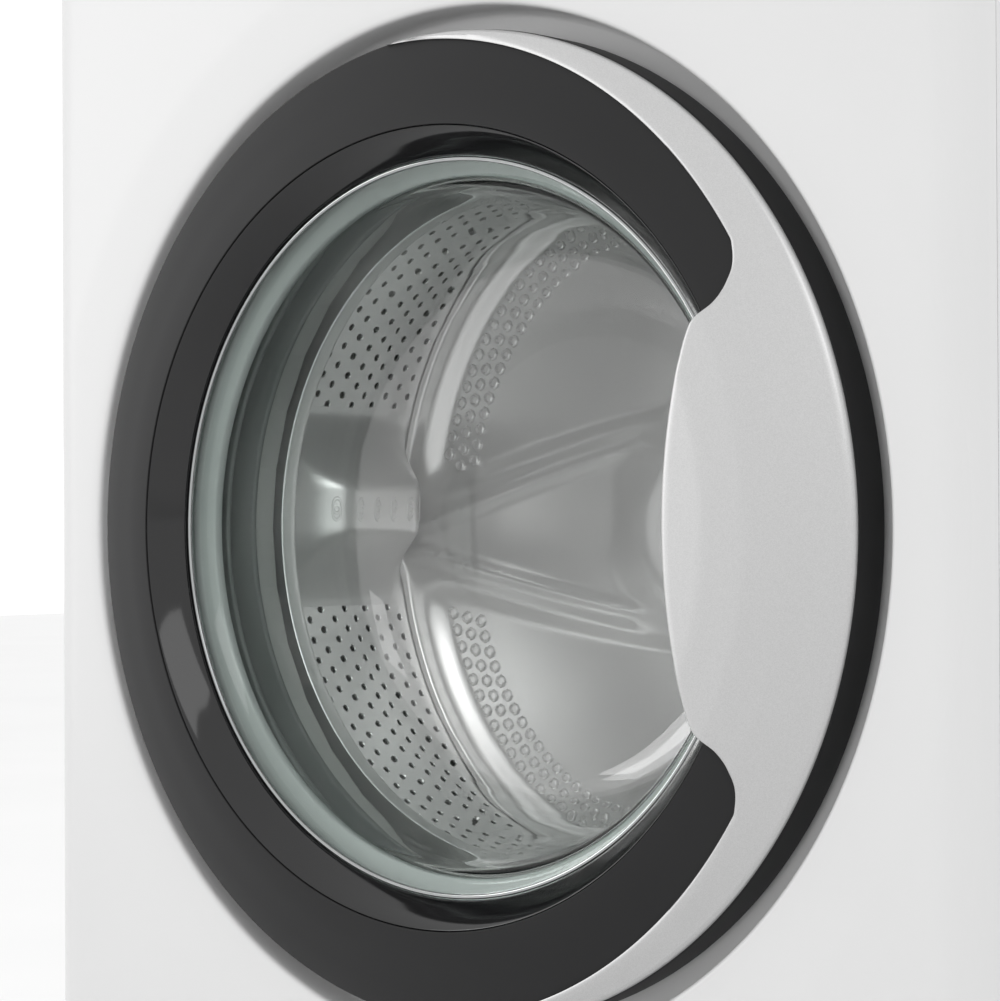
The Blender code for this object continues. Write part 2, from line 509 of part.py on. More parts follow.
def drum():
    centre = (0, AXIS_Z)
    sheet = SHEET
    shell = turned("drum_shell", [(DRUM_LIP_R + sheet, -0.212), (DRUM_LIP_R + sheet, DRUM_FRONT),
                                  (0.236, -0.194), (DRUM_R + sheet, -0.186),
                                  (DRUM_R + sheet, DRUM_BACK + 0.004), (DRUM_R, DRUM_BACK + 0.004),
                                  (DRUM_R, -0.1855), (0.235, -0.1925),
                                  (DRUM_LIP_R, DRUM_FRONT + sheet), (DRUM_LIP_R, -0.212)],
                   centre, material="drum_steel")
    hub_face, hub_back = DRUM_BACK - 0.020, DRUM_BACK + 0.010
    back = turned("drum_back", [(0, hub_face), (0.045, hub_face + 0.001), (0.095, DRUM_BACK - 0.004),
                                (DRUM_R - 0.0008, DRUM_BACK), (DRUM_R - 0.0008, DRUM_BACK + 0.0025),
                                (0.095, DRUM_BACK + 0.001), (0.060, hub_back), (0, hub_back)],
                  centre, material="drum_steel")
    pieces = [shell, back]
    section = [(0.2384, 11.0), (0.220, 7.0), (0.198, 3.4), (0.192, 0), (0.198, -3.4), (0.220, -7.0),
               (0.2384, -11.0), (0.2384, -5.5), (0.2384, 0), (0.2384, 5.5)]
    for number in range(LIFTERS):
        turn = LIFTER_PHASE + number * 2 * math.pi / LIFTERS
        outline = [(r * math.cos(turn + math.radians(a)), AXIS_Z + r * math.sin(turn + math.radians(a)))
                   for r, a in section]
        pieces.append(prism(f"drum_lifter_{number + 1}", outline, -0.170, DRUM_BACK - 0.014, "Y", "drum_steel"))
    rim = (BELT_Y[0] - 0.0015, BELT_Y[1] + 0.0015)
    web = (rim[0] + 0.007, rim[0] + 0.012)
    boss = (rim[0] - 0.005, rim[0] + 0.017)
    pieces.append(rod("drum_shaft", centre, SHAFT_R, hub_back + GAP, rim[1] + 0.0045, segments=32,
                      material="cast_metal"))
    pulley = turned("drum_pulley", [(SHAFT_R + GAP, boss[0]), (0.030, boss[0]), (0.030, web[0]),
                                    (0.118, web[0]), (0.118, rim[0]), (PULLEY_R, rim[0]),
                                    (PULLEY_R, rim[1]), (0.118, rim[1]), (0.118, web[1]), (0.030, web[1]),
                                    (0.030, boss[1]), (SHAFT_R + GAP, boss[1])],
                    centre, segments=32, material="cast_metal")
    pieces.append(pulley)
    pivot("drum_axis", (0, 0, AXIS_Z), *pieces)


def belt_loop(big, small):
    """Outline of an open belt around the drum pulley and the motor pulley at the given radii."""
    first, second = Vector((0, AXIS_Z)), Vector((MOTOR_X, MOTOR_Z))
    way = second - first
    heading = math.degrees(math.atan2(way.y, way.x))
    lean = math.degrees(math.acos((big - small) / way.length))
    return [*arc(first, big, heading + lean, heading + 360 - lean, 48),
            *arc(second, small, heading - lean, heading + lean, 10)]


def drive():
    front, back = MOTOR_Y
    motor = rod("motor", (MOTOR_X, MOTOR_Z), MOTOR_R, front, back, segments=32, material="cast_metal")
    add(motor, block("motor_bracket", (MOTOR_X - 0.015, front + 0.025, MOTOR_Z + 0.045),
                     (MOTOR_X + 0.015, back - 0.025, 0.1562)))
    start, end = BELT_Y[0] - 0.0015, BELT_Y[1] + 0.0015
    shaft = turned("motor_pulley", [(0, back + 0.0005), (0.006, back + 0.0005), (0.006, start),
                                    (MOTOR_PULLEY_R, start), (MOTOR_PULLEY_R, end), (0, end)],
                   (MOTOR_X, MOTOR_Z), segments=SMALL, material="zinc_steel")
    pivot("motor_axis", (MOTOR_X, back, MOTOR_Z), shaft)
    belt = prism("drive_belt", belt_loop(PULLEY_R + 0.0041, MOTOR_PULLEY_R + 0.0041), *BELT_Y, "Y",
                 "black_rubber")
    cut(belt, prism("belt_inside", belt_loop(PULLEY_R + 0.0006, MOTOR_PULLEY_R + 0.0005),
                    BELT_Y[0] - 0.02, BELT_Y[1] + 0.02, "Y"))


# ---------------------------------------------------------------- water
def water_parts():
    pump = turned("drain_pump", [(0.0205, -0.2285), (0.030, -0.2285), (0.030, -0.110), (0, -0.110),
                                 (0, -0.150), (0.0205, -0.150)], (FILTER_X, FILTER_Z), segments=SMALL,
                  material="tub_plastic")
    add(pump, rod("pump_inlet", (SUMP_X, SUMP_Y), 0.014, 0.0835, 0.112, "Z"))
    turned("sump_hose", [(0.0110, 0.1123), (0.0165, 0.1123), (0.0165, 0.1997), (0.0110, 0.1997)],
           (SUMP_X, SUMP_Y), "Z", SMALL, "black_rubber")
    cap = turned("pump_filter", [(0, -0.2480), (0.024, -0.2480), (0.026, -0.2460), (0.026, -0.2290),
                                 (0.0198, -0.2290), (0.0198, -0.1600), (0, -0.1600)],
                 (FILTER_X, FILTER_Z), segments=SMALL, material="dark_plastic")
    cut(cap, *[block(f"filter_grip_{side}", (FILTER_X - 0.030, -0.26, FILTER_Z + low),
                     (FILTER_X + 0.030, -0.2360, FILTER_Z + high))
               for side, (low, high) in enumerate(((-0.030, -0.004), (0.004, 0.030)))])
    pivot("filter_axis", (FILTER_X, -0.230, FILTER_Z), cap)

    body, nozzle = (BACK_Y - 0.051, BACK_Y - 0.004), BACK_Y + 0.034
    turned("inlet_valve", [(0, body[0]), (0.022, body[0]), (0.022, body[1]), (0.0125, body[1]),
                           (0.0125, nozzle), (0.009, nozzle), (0.009, body[1] + 0.008),
                           (0, body[1] + 0.008)], (VALVE_X, VALVE_Z), segments=SMALL,
           material="tub_plastic")
    inner, outer = BACK_Y - SHEET - 0.0007, BACK_Y + 0.0008
    turned("mains_cable_gland", [(0.0045, inner - 0.0078), (0.013, inner - 0.0078), (0.013, inner),
                                 (0.0095, inner), (0.0095, outer), (0.013, outer),
                                 (0.013, outer + 0.0072), (0.0045, outer + 0.0072)],
           (GLAND_X, GLAND_Z), segments=SMALL, material="black_rubber")


def seat():
    """Hangs the whole machine on one empty that brings the middle of its box over the origin."""
    machine = bpy.data.objects.new("machine", None)
    machine.location = (0, MID_SHIFT, 0)
    bpy.context.collection.objects.link(machine)
    for item in bpy.data.objects:
        if item.parent is None and item != machine:
            item.parent = machine


clear_scene()
cabinet()
front_panel()
plinth()
feet()
control_panel()
detergent_drawer()
door()
hinge()
gasket()
tub()
drum()
drive()
water_parts()
seat()
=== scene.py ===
"""Finished surfaces of a slim front loading washing machine, laid over its packed solids.

Metres, +Z up. The front faces -Y, and the drum, the door and its glass share one axis along Y.
Depths are measured back from the face of the front panel, so that a depth below zero stands proud.
"""
import json
import math

import bmesh
import bpy
import numpy as np
from bpy.props import FloatProperty, FloatVectorProperty, IntProperty, PointerProperty
from mathutils import Matrix, Vector


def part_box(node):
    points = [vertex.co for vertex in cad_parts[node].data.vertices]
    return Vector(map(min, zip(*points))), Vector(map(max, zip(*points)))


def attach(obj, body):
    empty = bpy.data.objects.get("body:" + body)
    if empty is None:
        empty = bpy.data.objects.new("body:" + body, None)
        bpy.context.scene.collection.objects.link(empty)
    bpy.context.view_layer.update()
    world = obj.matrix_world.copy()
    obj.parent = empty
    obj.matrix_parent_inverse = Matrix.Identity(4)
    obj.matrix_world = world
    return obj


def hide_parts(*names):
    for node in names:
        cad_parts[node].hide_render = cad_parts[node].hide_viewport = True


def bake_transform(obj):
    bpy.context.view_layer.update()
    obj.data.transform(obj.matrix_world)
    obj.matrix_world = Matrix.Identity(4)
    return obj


bl_info = {
    "name": "Washing Machine Finish",
    "version": (1, 0, 0),
    "blender": (4, 5, 0),
    "location": "View3D > Sidebar > Washer",
    "description": "Lays the finished surfaces of a front loading washing machine over its solids",
    "category": "Object",
}

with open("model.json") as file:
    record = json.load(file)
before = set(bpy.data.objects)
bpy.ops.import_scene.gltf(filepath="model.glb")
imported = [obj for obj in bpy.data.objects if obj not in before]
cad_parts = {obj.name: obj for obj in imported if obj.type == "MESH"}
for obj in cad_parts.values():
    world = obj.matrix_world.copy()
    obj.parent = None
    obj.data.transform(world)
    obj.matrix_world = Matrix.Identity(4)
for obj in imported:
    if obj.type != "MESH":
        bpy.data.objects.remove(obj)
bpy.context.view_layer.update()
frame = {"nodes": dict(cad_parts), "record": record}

# ---------------------------------------------------------------- places read from the frame
(_, PANEL_Y, PANEL_LOW), (PANEL_RIGHT, PANEL_BACK, PANEL_TOP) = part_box("front_panel")
BOWL_LOW, BOWL_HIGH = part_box("door_bowl")
AXIS_Z = (BOWL_LOW[2] + BOWL_HIGH[2]) / 2
DOOR_R = (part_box("door_outer_ring")[1][0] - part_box("door_outer_ring")[0][0]) / 2
BACK_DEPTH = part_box("drum_shell")[1][1] - PANEL_Y          # rear edge of the drum's sheet
DRUM_FLOOR = BACK_DEPTH - 0.004                            # flat of the drum's back
DRUM_R = 0.240
RECESS_R = DOOR_R + 0.0125
RECESS_DEPTH = 0.023
MOUTH_R = 0.200
CREST_R = 0.197
CORNER = 0.020                                             # upright edges of the cabinet
SLOT_X, SLOT_HALF = (0.2150, 0.2365), 0.0225               # opening for the door lock
POCKET_X, POCKET_HALF = (0.150, 0.215), 0.075              # finger room behind the grip


# ---------------------------------------------------------------- surfaces
def rounded(corners, radius, steps=5, closed=True):
    """A polyline with each corner drawn as a parabola: (1-t)^2 a + 2t(1-t) corner + t^2 b, where a and b lie
    on the two straights, one radius from the corner or at most 0.45 of the straight."""
    corners = np.asarray(corners, float)
    radius = np.broadcast_to(np.asarray(radius, float).reshape(-1, 1), (len(corners), 1))

    def towards(others):
        way = others - corners
        length = np.maximum(np.linalg.norm(way, axis=1, keepdims=True), 1e-9)
        return corners + way * np.minimum(radius / length, 0.45)

    start, end = towards(np.roll(corners, 1, 0)), towards(np.roll(corners, -1, 0))
    if not closed:
        start[0] = end[0] = corners[0]
        start[-1] = end[-1] = corners[-1]
    t = np.linspace(0, 1, steps)[None, :, None]
    curve = (1 - t) ** 2 * start[:, None] + 2 * t * (1 - t) * corners[:, None] + t ** 2 * end[:, None]
    return curve.reshape(-1, corners.shape[1])


def evenly(points, count):
    """The polyline again, as count points a constant length apart."""
    points = np.asarray(points, float)
    along = np.r_[0, np.cumsum(np.linalg.norm(np.diff(points, axis=0), axis=1))]
    wanted = np.linspace(0, along[-1], count)
    return np.stack([np.interp(wanted, along, points[:, k]) for k in range(points.shape[1])], -1)


def smoothstep(low, high, value):
    """0 below low, 1 above high and 3t^2 - 2t^3 between them."""
    t = np.clip((value - low) / (high - low), 0, 1)
    return t * t * (3 - 2 * t)


def turned(profile, steps, wave=0.0, waves=0):
    """A (radius, depth) profile turned about the drum's axis: x = r cos a, y = panel + depth,
    z = axis + r sin a, with r swelling by wave cos(waves a) where a wave is asked for."""
    profile = np.asarray(profile, float)
    angle = np.linspace(0, 2 * np.pi, steps, endpoint=False)[:, None]
    radius = profile[None, :, 0] * (1 + wave * np.cos(waves * angle))
    return np.stack([radius * np.cos(angle), PANEL_Y + profile[None, :, 1] + 0 * angle,
                     AXIS_Z + radius * np.sin(angle)], -1)


def quads(points, round_rows=False, round_columns=False):
    """Corner numbers of the quads between the rows and columns of a grid of points."""
    rows, columns = points.shape[:2]
    number = np.arange(rows * columns).reshape(rows, columns)
    if round_rows:
        number = np.vstack([number, number[:1]])
    if round_columns:
        number = np.hstack([number, number[:, :1]])
    return np.stack([number[:-1, :-1], number[1:, :-1], number[1:, 1:], number[:-1, 1:]], -1).reshape(-1, 4)


def tube(path, radius, sides=8):
    """A round bar along a path: each point p gives p + radius (a cos s + b sin s), with a and b square to
    the path's direction."""
    path = np.asarray(path, float)
    way = np.gradient(path, axis=0)
    way /= np.linalg.norm(way, axis=1, keepdims=True)
    reference = np.where(np.abs(way[:, 2:3]) > 0.9, [[1.0, 0, 0]], [[0, 0, 1.0]])
    a = np.cross(way, reference)
    a /= np.linalg.norm(a, axis=1, keepdims=True)
    b = np.cross(way, a)
    s = np.linspace(0, 2 * np.pi, sides, endpoint=False)[None, :, None]
    ring = path[:, None] + radius * (a[:, None] * np.cos(s) + b[:, None] * np.sin(s))
    ends = [np.repeat(path[k][None, None], sides, 1) for k in (0, -1)]
    return np.concatenate([ends[0], ring, ends[1]])


def collars(centres, outwards, along, profile, stretch=1.0, sides=10):
    """The same small turned shape at many places: centre + r (u cos s + v sin s) + h n, with n the outward
    direction there and u along the surface. profile holds (r, h), and stretch lengthens it along u."""
    centres, n, u = (np.asarray(a, float) for a in (centres, outwards, along))
    n = n / np.linalg.norm(n, axis=-1, keepdims=True)
    u = u - n * (u * n).sum(-1, keepdims=True)
    u = u / np.linalg.norm(u, axis=-1, keepdims=True)
    v = np.cross(n, u)
    s = np.linspace(0, 2 * np.pi, sides, endpoint=False)
    profile = np.asarray(profile, float)
    r, h = profile[:, 0][None, None, :, None], profile[:, 1][None, None, :, None]
    c, d = np.cos(s)[None, :, None, None], np.sin(s)[None, :, None, None]
    points = (centres[:, None, None] + r * (stretch * c * u[:, None, None] + d * v[:, None, None])
              + h * n[:, None, None])
    one = quads(points[0], round_rows=True)
    count = sides * len(profile)
    faces = (one[None] + count * np.arange(len(centres))[:, None, None]).reshape(-1, 4)
    return points.reshape(-1, 3), faces


def alike(direction, count):
    """The same direction for count small shapes."""
    return np.tile(np.asarray(direction, float), (count, 1))


def form(name, points, faces, body, slot, stands_for=(), closed=True, sharp=35.0):
    """An object from points and quads: doubled points are merged, a closed shape is turned to face outwards,
    and it rides on its body with its slot's finish."""
    points, faces = np.asarray(points, float).reshape(-1, 3), np.asarray(faces)
    mesh = bpy.data.meshes.new(name)
    mesh.vertices.add(len(points))
    mesh.vertices.foreach_set("co", points.ravel())
    mesh.loops.add(faces.size)
    mesh.loops.foreach_set("vertex_index", faces.ravel().astype(np.int32))
    mesh.polygons.add(len(faces))
    mesh.polygons.foreach_set("loop_start", np.arange(len(faces), dtype=np.int32) * faces.shape[1])
    mesh.update(calc_edges=True)
    mesh.validate()
    work = bmesh.new()
    work.from_mesh(mesh)
    bmesh.ops.remove_doubles(work, verts=work.verts, dist=1e-6)
    bmesh.ops.dissolve_degenerate(work, edges=work.edges, dist=1e-7)
    if closed:
        bmesh.ops.recalc_face_normals(work, faces=work.faces)
    work.to_mesh(mesh)
    work.free()
    piece = bpy.data.objects.new(name, mesh)
    bpy.context.collection.objects.link(piece)
    smooth(piece, sharp)
    piece.data.materials.append(finish(slot))
    if body:
        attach(piece, body)
    if stands_for:
        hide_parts(*stands_for)
    return piece


def smooth(piece, sharp):
    piece.data.shade_smooth()
    piece.data.set_sharp_from_angle(angle=math.radians(sharp))


def joined(*shells):
    """Several (points, faces) shells as one."""
    points, faces, start = [], [], 0
    for shell_points, shell_faces in shells:
        shell_points = np.asarray(shell_points).reshape(-1, 3)
        points.append(shell_points)
        faces.append(np.asarray(shell_faces) + start)
        start += len(shell_points)
    return np.concatenate(points), np.concatenate(faces)


def cut_box(piece, low, high, sharp=35.0):
    """Takes a box out of a closed piece. The box's y values are depths."""
    low, high = Vector((low[0], low[1] + PANEL_Y, low[2])), Vector((high[0], high[1] + PANEL_Y, high[2]))
    work = bmesh.new()
    bmesh.ops.create_cube(work, size=1, matrix=Matrix.Translation((low + high) / 2)
                          @ Matrix.Diagonal((*(high - low), 1)))
    mesh = bpy.data.meshes.new("cutter")
    work.to_mesh(mesh)
    work.free()
    cutter = bpy.data.objects.new("cutter", mesh)
    bpy.context.collection.objects.link(cutter)
    modifier = piece.modifiers.new("cut", "BOOLEAN")
    modifier.operation = "DIFFERENCE"
    modifier.object = cutter
    modifier.solver = "EXACT"
    bpy.context.view_layer.update()
    result = bpy.data.meshes.new_from_object(piece.evaluated_get(bpy.context.evaluated_depsgraph_get()))
    piece.modifiers.clear()
    piece.data = result
    bpy.data.objects.remove(cutter)
    smooth(piece, sharp)


# ---------------------------------------------------------------- shader sockets
class Wire:
    """An output socket that can be used in plain sums, each of which becomes a Math node."""

    def __init__(self, bench, socket):
        self.bench = bench
        self.socket = socket

    def _sum(self, operation, first, second):
        return self.bench.node("ShaderNodeMath", {"operation": operation}, {0: first, 1: second})

    def __add__(self, other):
        return self._sum("ADD", self, other)

    def __radd__(self, other):
        return self._sum("ADD", other, self)

    def __mul__(self, other):
        return self._sum("MULTIPLY", self, other)

    def __rmul__(self, other):
        return self._sum("MULTIPLY", other, self)



class Bench:
    """A new material and the means to wire it."""

    def __init__(self, name):
        self.material = bpy.data.materials.new(name)
        self.material.use_nodes = True
        self.tree = self.material.node_tree
        self.tree.nodes.clear()

    def node(self, kind, settings=None, sockets=None, out=0):
        """Adds a node with its settings and sockets, and gives back one of its outputs."""
        made = self.tree.nodes.new(kind)
        for key, value in (settings or {}).items():
            setattr(made, key, value)
        for key, value in (sockets or {}).items():
            if isinstance(value, Wire):
                self.tree.links.new(value.socket, made.inputs[key])
            else:
                made.inputs[key].default_value = value
        return Wire(self, made.outputs[out])

    def place(self, stretch=(1.0, 1.0, 1.0)):
        """Object coordinates in metres, stretched along the axes."""
        there = self.node("ShaderNodeTexCoord", out="Object")
        return self.node("ShaderNodeVectorMath", {"operation": "MULTIPLY"}, {0: there, 1: stretch})

    def noise(self, scale, detail=3.0, stretch=(1.0, 1.0, 1.0), rough=0.5):
        return self.node("ShaderNodeTexNoise", {}, {"Vector": self.place(stretch), "Scale": scale,
                                                    "Detail": detail, "Roughness": rough})

    def cells(self, scale, out="Distance"):
        return self.node("ShaderNodeTexVoronoi", {}, {"Vector": self.place(), "Scale": scale}, out=out)

    def tint(self, factor, low, high):
        """The colour low where factor is 0 and high where it is 1."""
        return self.node("ShaderNodeMix", {"data_type": "RGBA"},
                         {0: factor, 6: (*low, 1), 7: (*high, 1)}, out=2)

    def bump(self, height, strength, distance):
        return self.node("ShaderNodeBump", {}, {"Height": height, "Strength": strength, "Distance": distance})

    def surface(self, sockets):
        return self.node("ShaderNodeBsdfPrincipled", {}, sockets)

    def done(self, shader):
        output = self.tree.nodes.new("ShaderNodeOutputMaterial")
        self.tree.links.new(shader.socket, output.inputs["Surface"])
        return self.material


def shade(colour, factor):
    return tuple(min(1.0, c * factor) for c in colour)


def settings():
    return bpy.context.scene.washing_machine


# ---------------------------------------------------------------- finishes
def enamel(bench):
    """White stove enamel: a fine orange peel, with a barely uneven gloss."""
    peel = bench.noise(700, 2.0)
    cloud = bench.noise(9, 2.0)
    colour = settings().enamel_colour
    return bench.surface({"Base Color": bench.tint(cloud, shade(colour, 0.975), shade(colour, 1.015)),
                          "Roughness": 0.27 + 0.10 * cloud, "Specular IOR Level": 0.5,
                          "Normal": bench.bump(peel, 0.10, 0.0002)})


def moulded(bench, low, high, cloud, grain, gloss, strength, **more):
    """Moulded plastic: a cloudy tint between low and high, with a fine spark eroded grain.

    cloud holds a scale and a detail, grain a scale, gloss the roughness and its rise with the grain,
    and strength the grain's bump and its depth."""
    grain = bench.noise(grain, 2.0)
    return bench.surface({"Base Color": bench.tint(bench.noise(*cloud), low, high),
                          "Roughness": gloss[0] + gloss[1] * grain, **more,
                          "Normal": bench.bump(grain, *strength)})


def white_plastic(bench):
    """White plastic of the fascia, drawer, plinth and flap."""
    colour = settings().fascia_colour
    return moulded(bench, shade(colour, 0.97), shade(colour, 1.02), (14, 2.0), 2600, (0.38, 0.08),
                   (0.12, 0.0001))


def ring_grey(bench):
    """Dark grey satin plastic of the outer ring."""
    colour = settings().door_colour
    return moulded(bench, shade(colour, 0.93), shade(colour, 1.07), (18, 3.0), 3400, (0.44, 0.10),
                   (0.15, 0.0001), **{"Specular IOR Level": 0.2})


def frame_grey(bench):
    """Light grey plastic that backs the glass."""
    return moulded(bench, (0.34, 0.37, 0.36), (0.40, 0.43, 0.42), (20, 3.0), 1900, (0.40, 0.10),
                   (0.12, 0.0001))


def dark_plastic(bench):
    """Dark grey plastic of the small fittings."""
    return moulded(bench, (0.040, 0.040, 0.044), (0.060, 0.060, 0.064), (20, 3.0), 1600, (0.42, 0.14),
                   (0.16, 0.0002))


def gloss_black(bench):
    """Polished black plastic with the faint haze that wiping leaves."""
    haze = bench.noise(25, 4.0, (1.0, 1.0, 0.4))
    fine = bench.noise(420, 2.0)
    return bench.surface({"Base Color": bench.tint(haze, (0.005, 0.005, 0.005), (0.009, 0.009, 0.010)),
                          "Roughness": 0.05 + 0.06 * haze,
                          "Normal": bench.bump(fine, 0.02, 0.0002)})


def silver_paint(bench):
    """Silver lacquer: metal flakes of about a third of a millimetre under a satin coat."""
    flakes = bench.cells(3000, out="Color")
    depth = bench.node("ShaderNodeSeparateColor", {}, {0: flakes})
    cloud = bench.noise(12, 2.0)
    colour = settings().silver_colour
    return bench.surface({"Base Color": bench.tint(depth, shade(colour, 0.93), shade(colour, 1.06)),
                          "Metallic": 0.72, "Roughness": 0.33 + 0.06 * cloud + 0.03 * depth,
                          "Coat Weight": 0.15, "Coat Roughness": 0.25,
                          "Normal": bench.bump(bench.noise(1500, 1.0), 0.04, 0.0001)})


def polished_trim(bench):
    """Plated ring, nearly a mirror."""
    haze = bench.noise(60, 3.0)
    return bench.surface({"Base Color": bench.tint(haze, (0.34, 0.35, 0.35), (0.42, 0.43, 0.43)),
                          "Metallic": 1.0, "Roughness": 0.08 + 0.08 * haze})


def bowl_glass(bench):
    """Pressed green tinged glass. Light for the drum passes straight through it."""
    ripple = bench.noise(16, 2.0)
    from_axis = bench.node("ShaderNodeVectorMath", {"operation": "SUBTRACT"},
                           {0: bench.place(), 1: (0.0, 0.0, AXIS_Z)})
    from_axis = bench.node("ShaderNodeVectorMath", {"operation": "MULTIPLY"},
                           {0: from_axis, 1: (1.0, 0.0, 1.0)})
    radius = bench.node("ShaderNodeVectorMath", {"operation": "LENGTH"}, {0: from_axis}, out="Value")
    rim = bench.node("ShaderNodeMapRange", {"interpolation_type": "SMOOTHSTEP"},
                     {"Value": radius, "From Min": 0.140, "From Max": 0.172})
    glass = bench.surface({"Base Color": bench.tint(rim, (0.985, 0.99, 0.987), settings().glass_colour),
                           "Transmission Weight": 1.0, "Roughness": 0.0, "IOR": 1.48,
                           "Normal": bench.bump(ripple, 0.06, 0.002)})
    shadow_ray = bench.node("ShaderNodeLightPath", out="Is Shadow Ray")
    clear = bench.node("ShaderNodeBsdfTransparent", {}, {"Color": (0.97, 0.98, 0.975, 1)})
    return bench.node("ShaderNodeMixShader", {}, {0: shadow_ray, 1: glass, 2: clear})


def drum_sheet(bench):
    """Stainless sheet with fine lines left by the rolls, running round the drum."""
    lines = bench.noise(1.0, 3.0, (9.0, 1700.0, 9.0), 0.6)
    cloud = bench.noise(24, 3.0)
    return bench.surface({"Base Color": bench.tint(cloud, (0.84, 0.84, 0.84), (0.93, 0.93, 0.92)),
                          "Metallic": 0.68, "Roughness": 0.26 + 0.12 * lines + 0.06 * cloud,
                          "Normal": bench.bump(lines, 0.10, 0.0002)})


def casting(bench):
    """Die cast aluminium, grainy and dull."""
    grain = bench.noise(420, 5.0, rough=0.6)
    return bench.surface({"Base Color": bench.tint(grain, (0.38, 0.38, 0.39), (0.56, 0.56, 0.57)),
                          "Metallic": 1.0, "Roughness": 0.40 + 0.22 * grain,
                          "Normal": bench.bump(grain, 0.35, 0.0006)})


def zinc(bench):
    """Zinc plate with its spangle."""
    spangle = bench.node("ShaderNodeSeparateColor", {}, {0: bench.cells(190, out="Color")})
    dull = bench.noise(30, 4.0)
    return bench.surface({"Base Color": bench.tint(spangle, (0.50, 0.51, 0.53), (0.66, 0.67, 0.68)),
                          "Metallic": 1.0, "Roughness": 0.26 + 0.12 * spangle + 0.14 * dull,
                          "Normal": bench.bump(dull, 0.05, 0.0004)})


def rubber(bench, low, high, bloom, grain, gloss, strength):
    """Rubber: a dusty bloom that dulls it where it is pale, over a fine grain."""
    bloom = bench.noise(bloom, 4.0)
    return bench.surface({"Base Color": bench.tint(bloom, low, high),
                          "Roughness": gloss[0] + gloss[1] * bloom,
                          "Normal": bench.bump(bench.noise(grain, 2.0), strength, 0.0002)})


def soft_grey(bench):
    """Grey rubber of the door seal."""
    return rubber(bench, (0.15, 0.16, 0.16), (0.22, 0.23, 0.225), 26, 1500, (0.52, 0.20), 0.15)


def black_rubber(bench):
    """Black rubber of the feet, hose and belt."""
    return rubber(bench, (0.018, 0.018, 0.018), (0.045, 0.045, 0.045), 60, 1200, (0.58, 0.24), 0.22)


def filled_plastic(bench):
    """Light grey glass filled plastic, with its flow marks and speckle."""
    flow = bench.noise(22, 5.0, (1.0, 1.0, 0.3))
    speckle = bench.noise(900, 2.0)
    return bench.surface({"Base Color": bench.tint(0.6 * flow + 0.4 * speckle, (0.47, 0.48, 0.47),
                                                   (0.62, 0.63, 0.61)),
                          "Roughness": 0.46 + 0.16 * speckle, "Normal": bench.bump(speckle, 0.14, 0.0002)})


def display_window(bench):
    """Smoked window of the display."""
    haze = bench.noise(40, 3.0)
    return bench.surface({"Base Color": bench.tint(haze, (0.008, 0.008, 0.010), (0.014, 0.014, 0.016)),
                          "Roughness": 0.04 + 0.06 * haze, "Coat Weight": 0.6, "Coat Roughness": 0.03})


def concrete(bench):
    """Cast concrete with sand and small air holes."""
    sand = bench.noise(260, 6.0, rough=0.7)
    holes = bench.cells(90)
    return bench.surface({"Base Color": bench.tint(sand, (0.34, 0.33, 0.31), (0.60, 0.59, 0.56)),
                          "Roughness": 0.78 + 0.18 * sand,
                          "Normal": bench.bump(0.7 * sand + 0.3 * holes, 0.6, 0.0015)})


FINISHES = {"cabinet_white": enamel, "fascia_white": white_plastic, "door_grey": ring_grey,
            "frame_grey": frame_grey, "bezel_black": gloss_black, "handle_silver": silver_paint,
            "bright_trim": polished_trim,
            "bowl_glass": bowl_glass, "drum_steel": drum_sheet, "cast_metal": casting, "zinc_steel": zinc,
            "grey_rubber": soft_grey, "black_rubber": black_rubber, "tub_plastic": filled_plastic,
            "dark_plastic": dark_plastic, "display_glass": display_window, "concrete": concrete}


def finish(slot):
    """The slot's material, made on first use."""
    name = "finish_" + slot
    found = bpy.data.materials.get(name)
    if found:
        return found
    bench = Bench(name)
    return bench.done(FINISHES[slot](bench))


# ---------------------------------------------------------------- cabinet
def unrolled(across, height, sink=0.0):
    """The front's plan, unrolled: a width measured along the face and round the upright corners becomes
    x and y. Flat to the corner, then a quarter circle, then straight back, sunk by sink into the face."""
    flat = PANEL_RIGHT - CORNER
    past = np.abs(across) - flat
    turn = np.clip(past / CORNER, 0, np.pi / 2)
    straight = np.maximum(past - CORNER * np.pi / 2, 0)
    side = np.sign(across)
    x = side * (np.minimum(np.abs(across), flat) + (CORNER - sink) * np.sin(turn))
    y = PANEL_Y + CORNER - (CORNER - sink) * np.cos(turn) + straight
    return np.stack([x, np.minimum(y, PANEL_BACK), height], -1)


